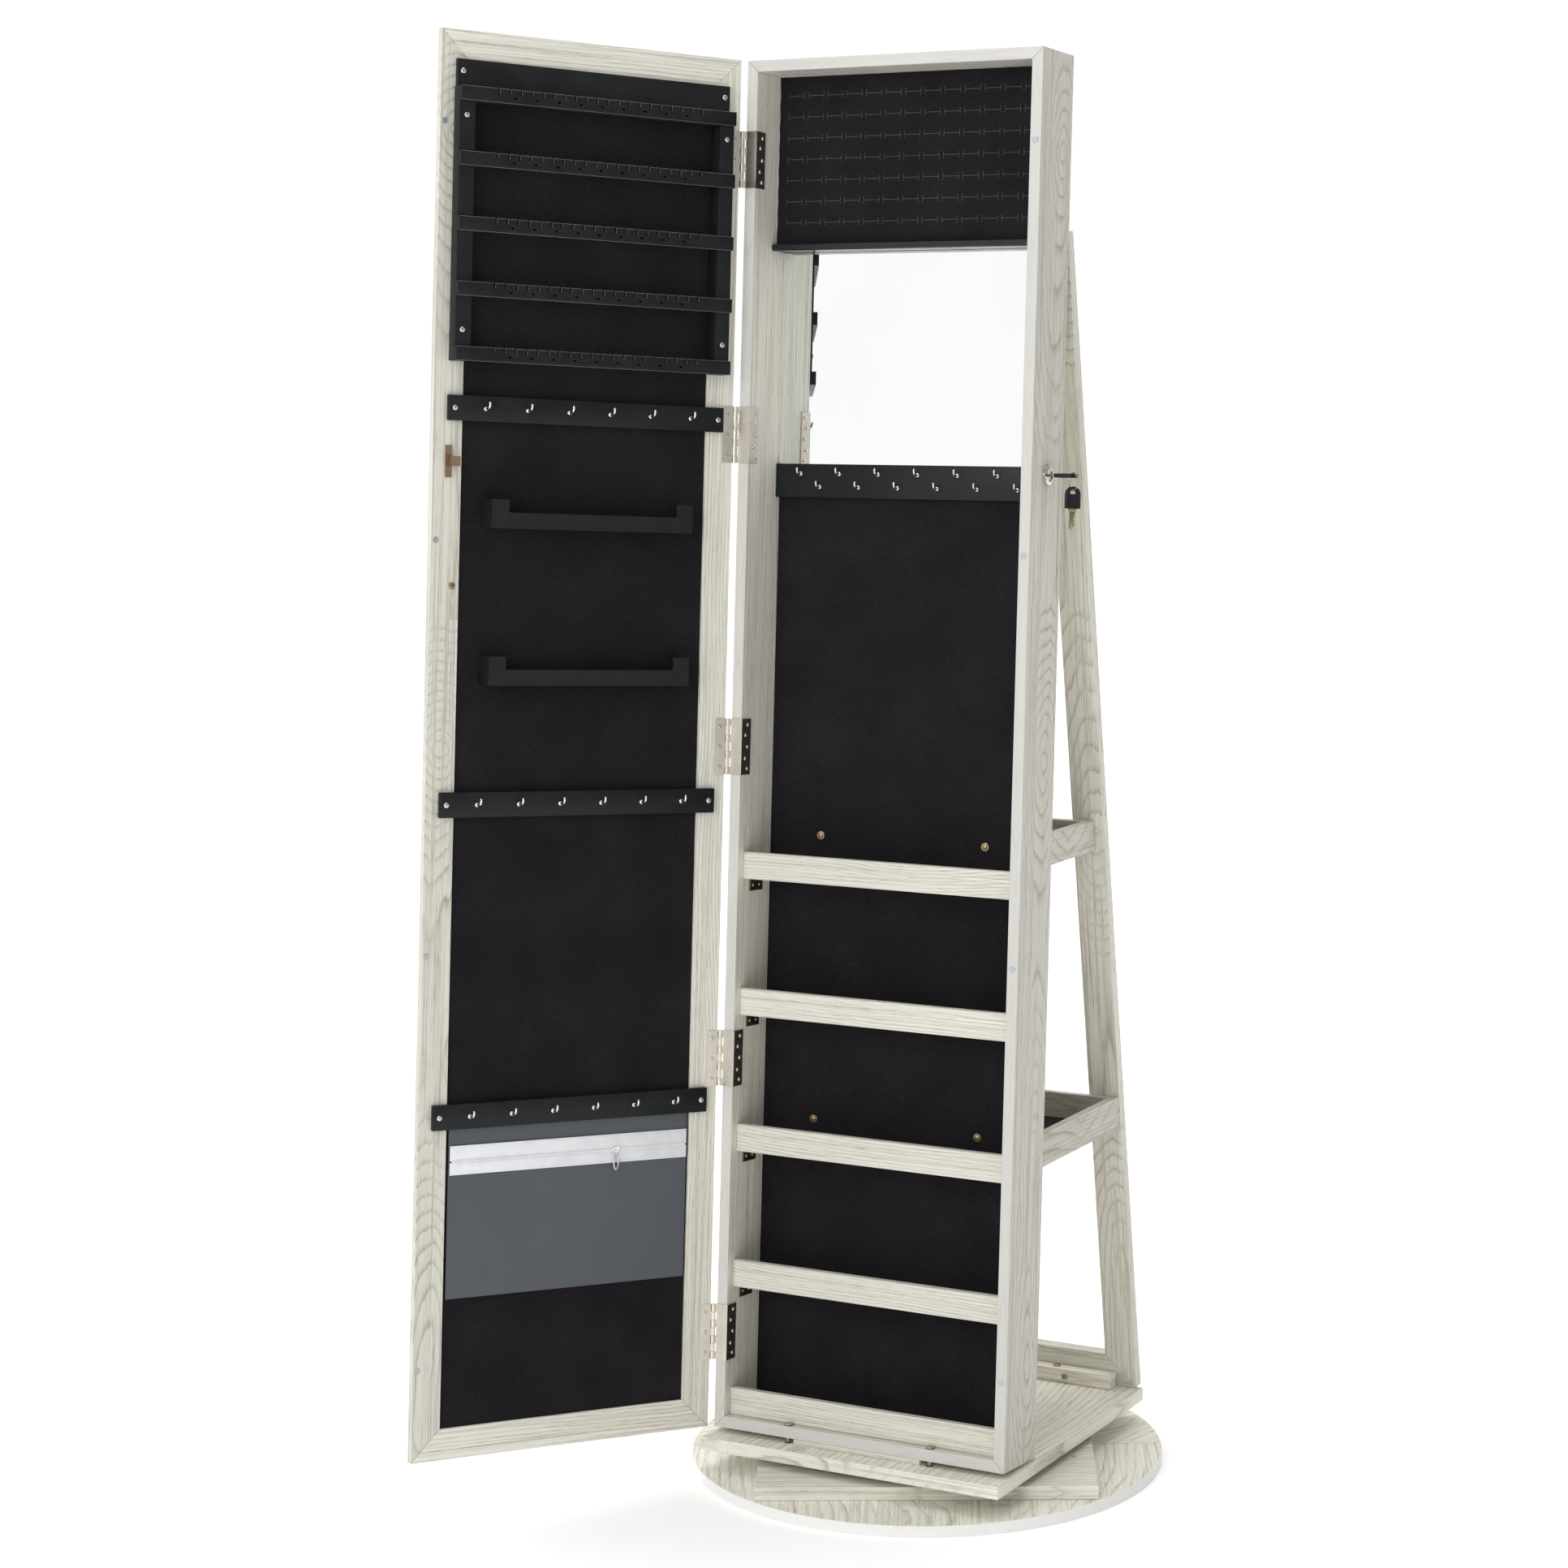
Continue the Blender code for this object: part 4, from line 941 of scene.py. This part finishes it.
def make_ring_pad():
    """A foam pad covered in velvet, slit in seven rows of thirteen ring slots."""
    left, right = -INNER, INNER
    low, high = 1.3475, 1.5367
    front, back = 0.0500, LINING - GAP
    slot_width, pitch_x, pitch_z, thin, tick = 0.0186, 0.0248, 0.02388, 0.0008, 0.0042
    xs, zs = {left, right}, {low, high}
    columns = [(-0.158 + pitch_x * i, -0.158 + pitch_x * i + slot_width) for i in range(13)]
    rows = [1.5152 - pitch_z * j for j in range(7)]
    for start, end in columns:
        xs |= {start - thin, start, start + slot_width / 3, end - slot_width / 3, end, end + thin}
    for row in rows:
        zs |= {row - tick, row - thin / 2, row + thin / 2, row + tick, row - pitch_z / 2, row + pitch_z / 2}
    xs = sorted(x for x in xs if left <= x <= right)
    zs = sorted(z for z in zs if low <= z <= high)

    def slit(x, z):
        for row in rows:
            for start, end in columns:
                if start < x < end and abs(z - row) < thin / 2:
                    return True
                if abs(z - row) < tick and (start - thin < x < start or end < x < end + thin):
                    return True
        return False

    def face_depth(x, z):
        nearest = min(abs(z - row) for row in rows)
        roll = 0.0009 * math.cos(math.pi * min(nearest / (pitch_z / 2), 1.0))
        edge = 0.0016 * max(0.0, 1 - min(x - left, right - x, high - z, z - low) / 0.004)
        return front + 0.0006 + roll * 0.6 + edge

    pad = Shape()
    work = pad.work
    spots = [[(x, z) for x in xs] for z in zs]
    near = [pad.loop([(x, face_depth(x, z), z) for x, z in row], CAB) for row in spots]
    for corners, (first, _, last, _) in zip(cells(near), cells(spots)):
        face = work.faces.new(corners)
        face.material_index = int(slit((first[0] + last[0]) / 2, (first[1] + last[1]) / 2))
    sunk = [face for face in work.faces if face.material_index == 1]
    made = bmesh.ops.extrude_face_region(work, geom=sunk)
    moved = [one for one in made["geom"] if isinstance(one, bmesh.types.BMVert)]
    bmesh.ops.translate(work, verts=moved, vec=CAB.to_3x3() @ Vector((0, SLIT_DEPTH, 0)))
    bmesh.ops.delete(work, geom=[face for face in sunk if face.is_valid], context="FACES_ONLY")
    far = pad.loop([(x, back, z) for x, z in border(spots)], CAB)
    pad.bridge(border(near), far)
    work.faces.new(far)
    finishes = (VELVET, SLIT)
    piece = pad.done("velvet_ring_pad", finishes, "cabinet", "black_velvet", sharp=40, replaces=["ring_pad"])


def make_hook_board():
    """The board under the inner mirror, with its two rows of hooks."""
    face = 0.0630
    board = Shape()
    board.box((-INNER, face, 1.0610), (INNER, LINING - GAP, 1.0990), CAB)
    stands_for = ["necklace_hook_board"]
    board.done("hook_board", PLASTIC, "cabinet", "black_plastic", bevel=0.0006, replaces=stands_for)
    hooks = Shape()
    for i in range(12):
        height = 1.0730 if i % 2 else 1.0880
        add_hook(hooks, CAB, -0.1375 + 0.025 * i, face, height, **BOARD_HOOK)
    hooks.done("cabinet_hooks", HOOK, "cabinet", "satin_nickel")


def make_cabinet_hardware():
    """Four brass screws in the lining, and an angle bracket under each end of the four shelves."""
    screws = Shape()
    for height in (0.676, 0.3506):
        for x in (-0.1047, 0.1047):
            at = facing(CAB, (x, LINING, height), (0, -1, 0))
            screws.lathe([(0.0046, -0.0003), (0.0048, 0.0002), (0.0044, 0.0007), (0.0030, 0.0008)], at)
            screws.screw(CAB, (x, LINING - 0.0008, height), (0, -1, 0), 0.0032)
    screws.done("lining_screws", BRASS, "cabinet", "brass")
    brackets, heads = Shape(), Shape()
    arm, plate = 0.0150, 0.0013
    for i in range(4):
        under = 0.168 + 0.1554 * i - 0.008
        for side in (-1, 1):
            for reach, drop in ((plate, arm), (arm, 0.0015)):
                near, far = sorted((side * INNER, side * (INNER - reach)))
                brackets.box((near, 0.026, under - drop), (far, 0.054, under - 0.0002), CAB)
            for depth in (0.033, 0.047):
                place = (side * (INNER - plate), depth, under - 0.0085)
                heads.screw(CAB, place, (-side, 0, 0), 0.0025)
    brackets.done("shelf_brackets", BRONZE, "cabinet", "bronze", bevel=0.0003)
    heads.done("bracket_screws", BOLT, "cabinet", "satin_nickel")


UPPER_TRAY = {"half": 0.171, "low": 0.706, "tall": 0.035}
LOWER_TRAY = {"half": 0.1815, "low": 0.375, "tall": 0.037}


def rear_y(z):
    """How far back the rear frame's front face is at a height."""
    return REAR_FOOT[1] - (z - PLATE_TOP) * math.tan(REAR_SLANT)


def cabinet_back_y(z, depth=0.078):
    """How far back the leaning cabinet's back face is at a height."""
    along = (z - CABINET_FRONT[2] + depth * math.sin(LEAN)) / math.cos(LEAN)
    return CABINET_FRONT[1] + depth * math.cos(LEAN) + along * math.sin(LEAN)


def make_rear_details():
    """Screws in the batten's top and front and in the trays' backs, and the trays' velvet floors."""
    identity = Matrix.Identity(4)
    screws = Shape()
    top = PLATE_TOP + 0.017
    at_y = rear_y(top) - 0.0095
    face = rear_y(top) - 0.0183
    for x in (-0.098, 0.098):
        screws.screw(identity, (x - math.copysign(0.014, x), at_y, top), (0, 0, 1), 0.0048)
        screws.screw(identity, (x, face, PLATE_TOP + 0.0085), (0, -1, 0), 0.0042)
    for tray in (UPPER_TRAY, LOWER_TRAY):
        z = tray["low"] + tray["tall"] * 0.6
        for x in (-0.095, 0.095):
            screws.screw(identity, (x, rear_y(z) - 0.0105, z), (0, -1, 0), 0.0034)
    screws.done("rear_screws", BOLT, "cabinet", "satin_nickel")
    for name, tray in (("upper_tray_floor", UPPER_TRAY), ("lower_tray_floor", LOWER_TRAY)):
        z = tray["low"] + 0.0053
        inner = tray["half"] - 0.0104
        front, back = cabinet_back_y(z) + 0.0112, rear_y(z) - 0.0112
        floor = Shape()
        floor.box((-inner, front, z), (inner, back, z + 0.0016), identity)
        floor.done(name, VELVET, "cabinet", "black_velvet", bevel=0.0005)


# ---------------- keys
GRIP_HALF, GRIP_THICK = 0.0090, 0.0044
GRIP_END, GRIP_START = 0.0360, 0.0115
RING_RADIUS, RING_WIRE = 0.0096, 0.0006
RING_TURN = math.radians(-35)
SPARE_TOP, SPARE_TALL = 0.0044, 0.0240


def arch(half, top, bottom, inset=0.0):
    """Points round an arched panel, drawn in from a key's outline by the inset."""
    reach = half - inset
    foot = [(-reach, bottom + inset), (reach, bottom + inset)]
    return foot + arc((0.0, top - half), (reach, reach), 0.0, math.pi, 16)


def add_grip(shape, at, top, hole):
    """A moulded grip with a raised rim, a sunk face, a framed panel and a hole right through."""
    half, thick, bottom = GRIP_HALF, GRIP_THICK / 2, top - SPARE_TALL
    edges = []
    for side in (-1, 1):
        face, floor = side * thick, side * (thick - 0.0006)
        rim = shape.flat_loop(arch(half, top, bottom, 0.0005), face, at)
        inner = shape.flat_loop(arch(half, top, bottom, 0.0019), face, at)
        sunk = shape.flat_loop(arch(half, top, bottom, 0.0024), floor, at)
        mouth = shape.flat_loop(hole, floor, at)
        shape.bridge(rim, inner)
        shape.bridge(inner, sunk)
        shape.fill(sunk, mouth)
        edges.append((rim, mouth))
    waists = [shape.flat_loop(arch(half, top, bottom), side * (thick - 0.0005), at) for side in (-1, 1)]
    shape.bridge(edges[0][0], waists[0])
    shape.bridge(waists[0], waists[1])
    shape.bridge(waists[1], edges[1][0])
    shape.bridge(edges[0][1], edges[1][1])
    for side in (-1, 1):
        low, high = sorted((side * (thick - 0.0007), side * (thick - 0.00015)))
        for left, right, foot, head in (
            (-0.0054, 0.0054, 0.0030, 0.0035), (-0.0054, 0.0054, 0.0100, 0.0105),
            (-0.0054, -0.0049, 0.0035, 0.0100), (0.0049, 0.0054, 0.0035, 0.0100),
        ):
            shape.box((left, bottom + foot, low), (right, bottom + head, high), at)


def make_keys():
    """The key in the lock, the split ring through its grip's hole, and the spare key on the ring."""
    rim = 0.0073
    pivot = (GRIP_END - GRIP_HALF + rim * math.cos(RING_TURN), rim * math.sin(RING_TURN))
    ring = LOCK @ Matrix.Translation((*pivot, GRIP_THICK / 2 + 0.0009)) @ Matrix.Rotation(RING_TURN, 4, "Z")
    wire = Shape()
    round_wire = oval((-RING_RADIUS, 0.0), (RING_RADIUS, RING_RADIUS), 48)
    wire.tube([(x, 0, z) for z, x in round_wire], RING_WIRE, ring, 10, closed=True)
    wire.done("split_ring", BOLT, "ring", "satin_nickel", replaces=["key_ring"])

    hang = ring @ Matrix.Translation((0, 0, -2 * RING_RADIUS)) @ Matrix.Rotation(math.radians(90), 4, "Z")
    turned = hang @ Matrix.Rotation(math.radians(90), 4, "X")
    window = [(-0.0040, -0.0038), (0.0040, -0.0038)] + arc((0.0, -0.0022), (0.0040, 0.0036), 0.0, math.pi, 8)
    head = Shape()
    add_grip(head, turned, SPARE_TOP, window)
    head.done("spare_key_head", PLASTIC, "spare", "black_plastic", replaces=["spare_key"])
    blade = Shape()
    add_blade(blade, turned, SPARE_TOP - SPARE_TALL)
    blade.done("spare_key_blade", KEY_BRASS, "spare", "brass", bevel=0.0002)

    flat = LOCK @ Matrix(((0, 1, 0, 0), (1, 0, 0, 0), (0, 0, -1, 0), (0, 0, 0, 1)))
    eye = oval((0.0, GRIP_END - GRIP_HALF), (0.0056, 0.0056), 24)
    grip = Shape()
    add_grip(grip, flat, GRIP_END, eye)
    grip.done("key_grip", PLASTIC, "lock", "black_plastic", replaces=["lock_key"])
    shank = Shape()
    shank.box((-0.0125, -0.0038, -0.0010), (GRIP_START + 0.0010, 0.0038, 0.0010), LOCK)
    shank.box((0.0050, -0.0045, -0.0013), (GRIP_START + 0.0004, 0.0045, 0.0013), LOCK)
    shank.done("key_shank", KEY_BRASS, "lock", "brass", bevel=0.0002)


def add_blade(shape, at, foot):
    """A flat blade with a cut edge, below a wider shoulder."""
    shape.box((-0.0045, foot - 0.003, -0.0012), (0.0045, foot + 0.001, 0.0012), at)
    cuts = (0.0035, 0.0022, 0.0030, 0.0016, 0.0026, 0.0018, 0.0030, 0.0020)
    right = [(depth, foot - 0.0040 - k * 0.0023) for k, depth in enumerate(cuts)]
    edge = [(-0.0034, foot - 0.002), (-0.0034, foot - 0.0210), (-0.0010, foot - 0.0234)]
    shape.prism(edge + right[::-1] + [(0.0034, foot - 0.002)], -0.0009, 0.0009, at)


def make_rosette():
    """The lock's domed escutcheon, over the solid's flat one."""
    bowl = [(0.0120, 0.0004), (0.0120, 0.0012), (0.0112, 0.0021)]
    lip = [(0.0094, 0.0031), (0.0072, 0.0036), (0.0064, 0.0034)]
    hollow = [(0.0062, 0.0024), (0.0062, 0.0004)]
    dome = Shape()
    dome.lathe(bowl + lip + hollow, facing(LOCK, (0, 0, 0), (1, 0, 0)), 40, closed=True)
    dome.done("lock_rosette", CHROME, "cabinet", "chrome", sharp=50)


make_strips()
make_rack()
make_magnets()
make_hinge_screws()
make_pocket()
make_ring_pad()
make_hook_board()
make_cabinet_hardware()
make_rear_details()
make_keys()
make_rosette()
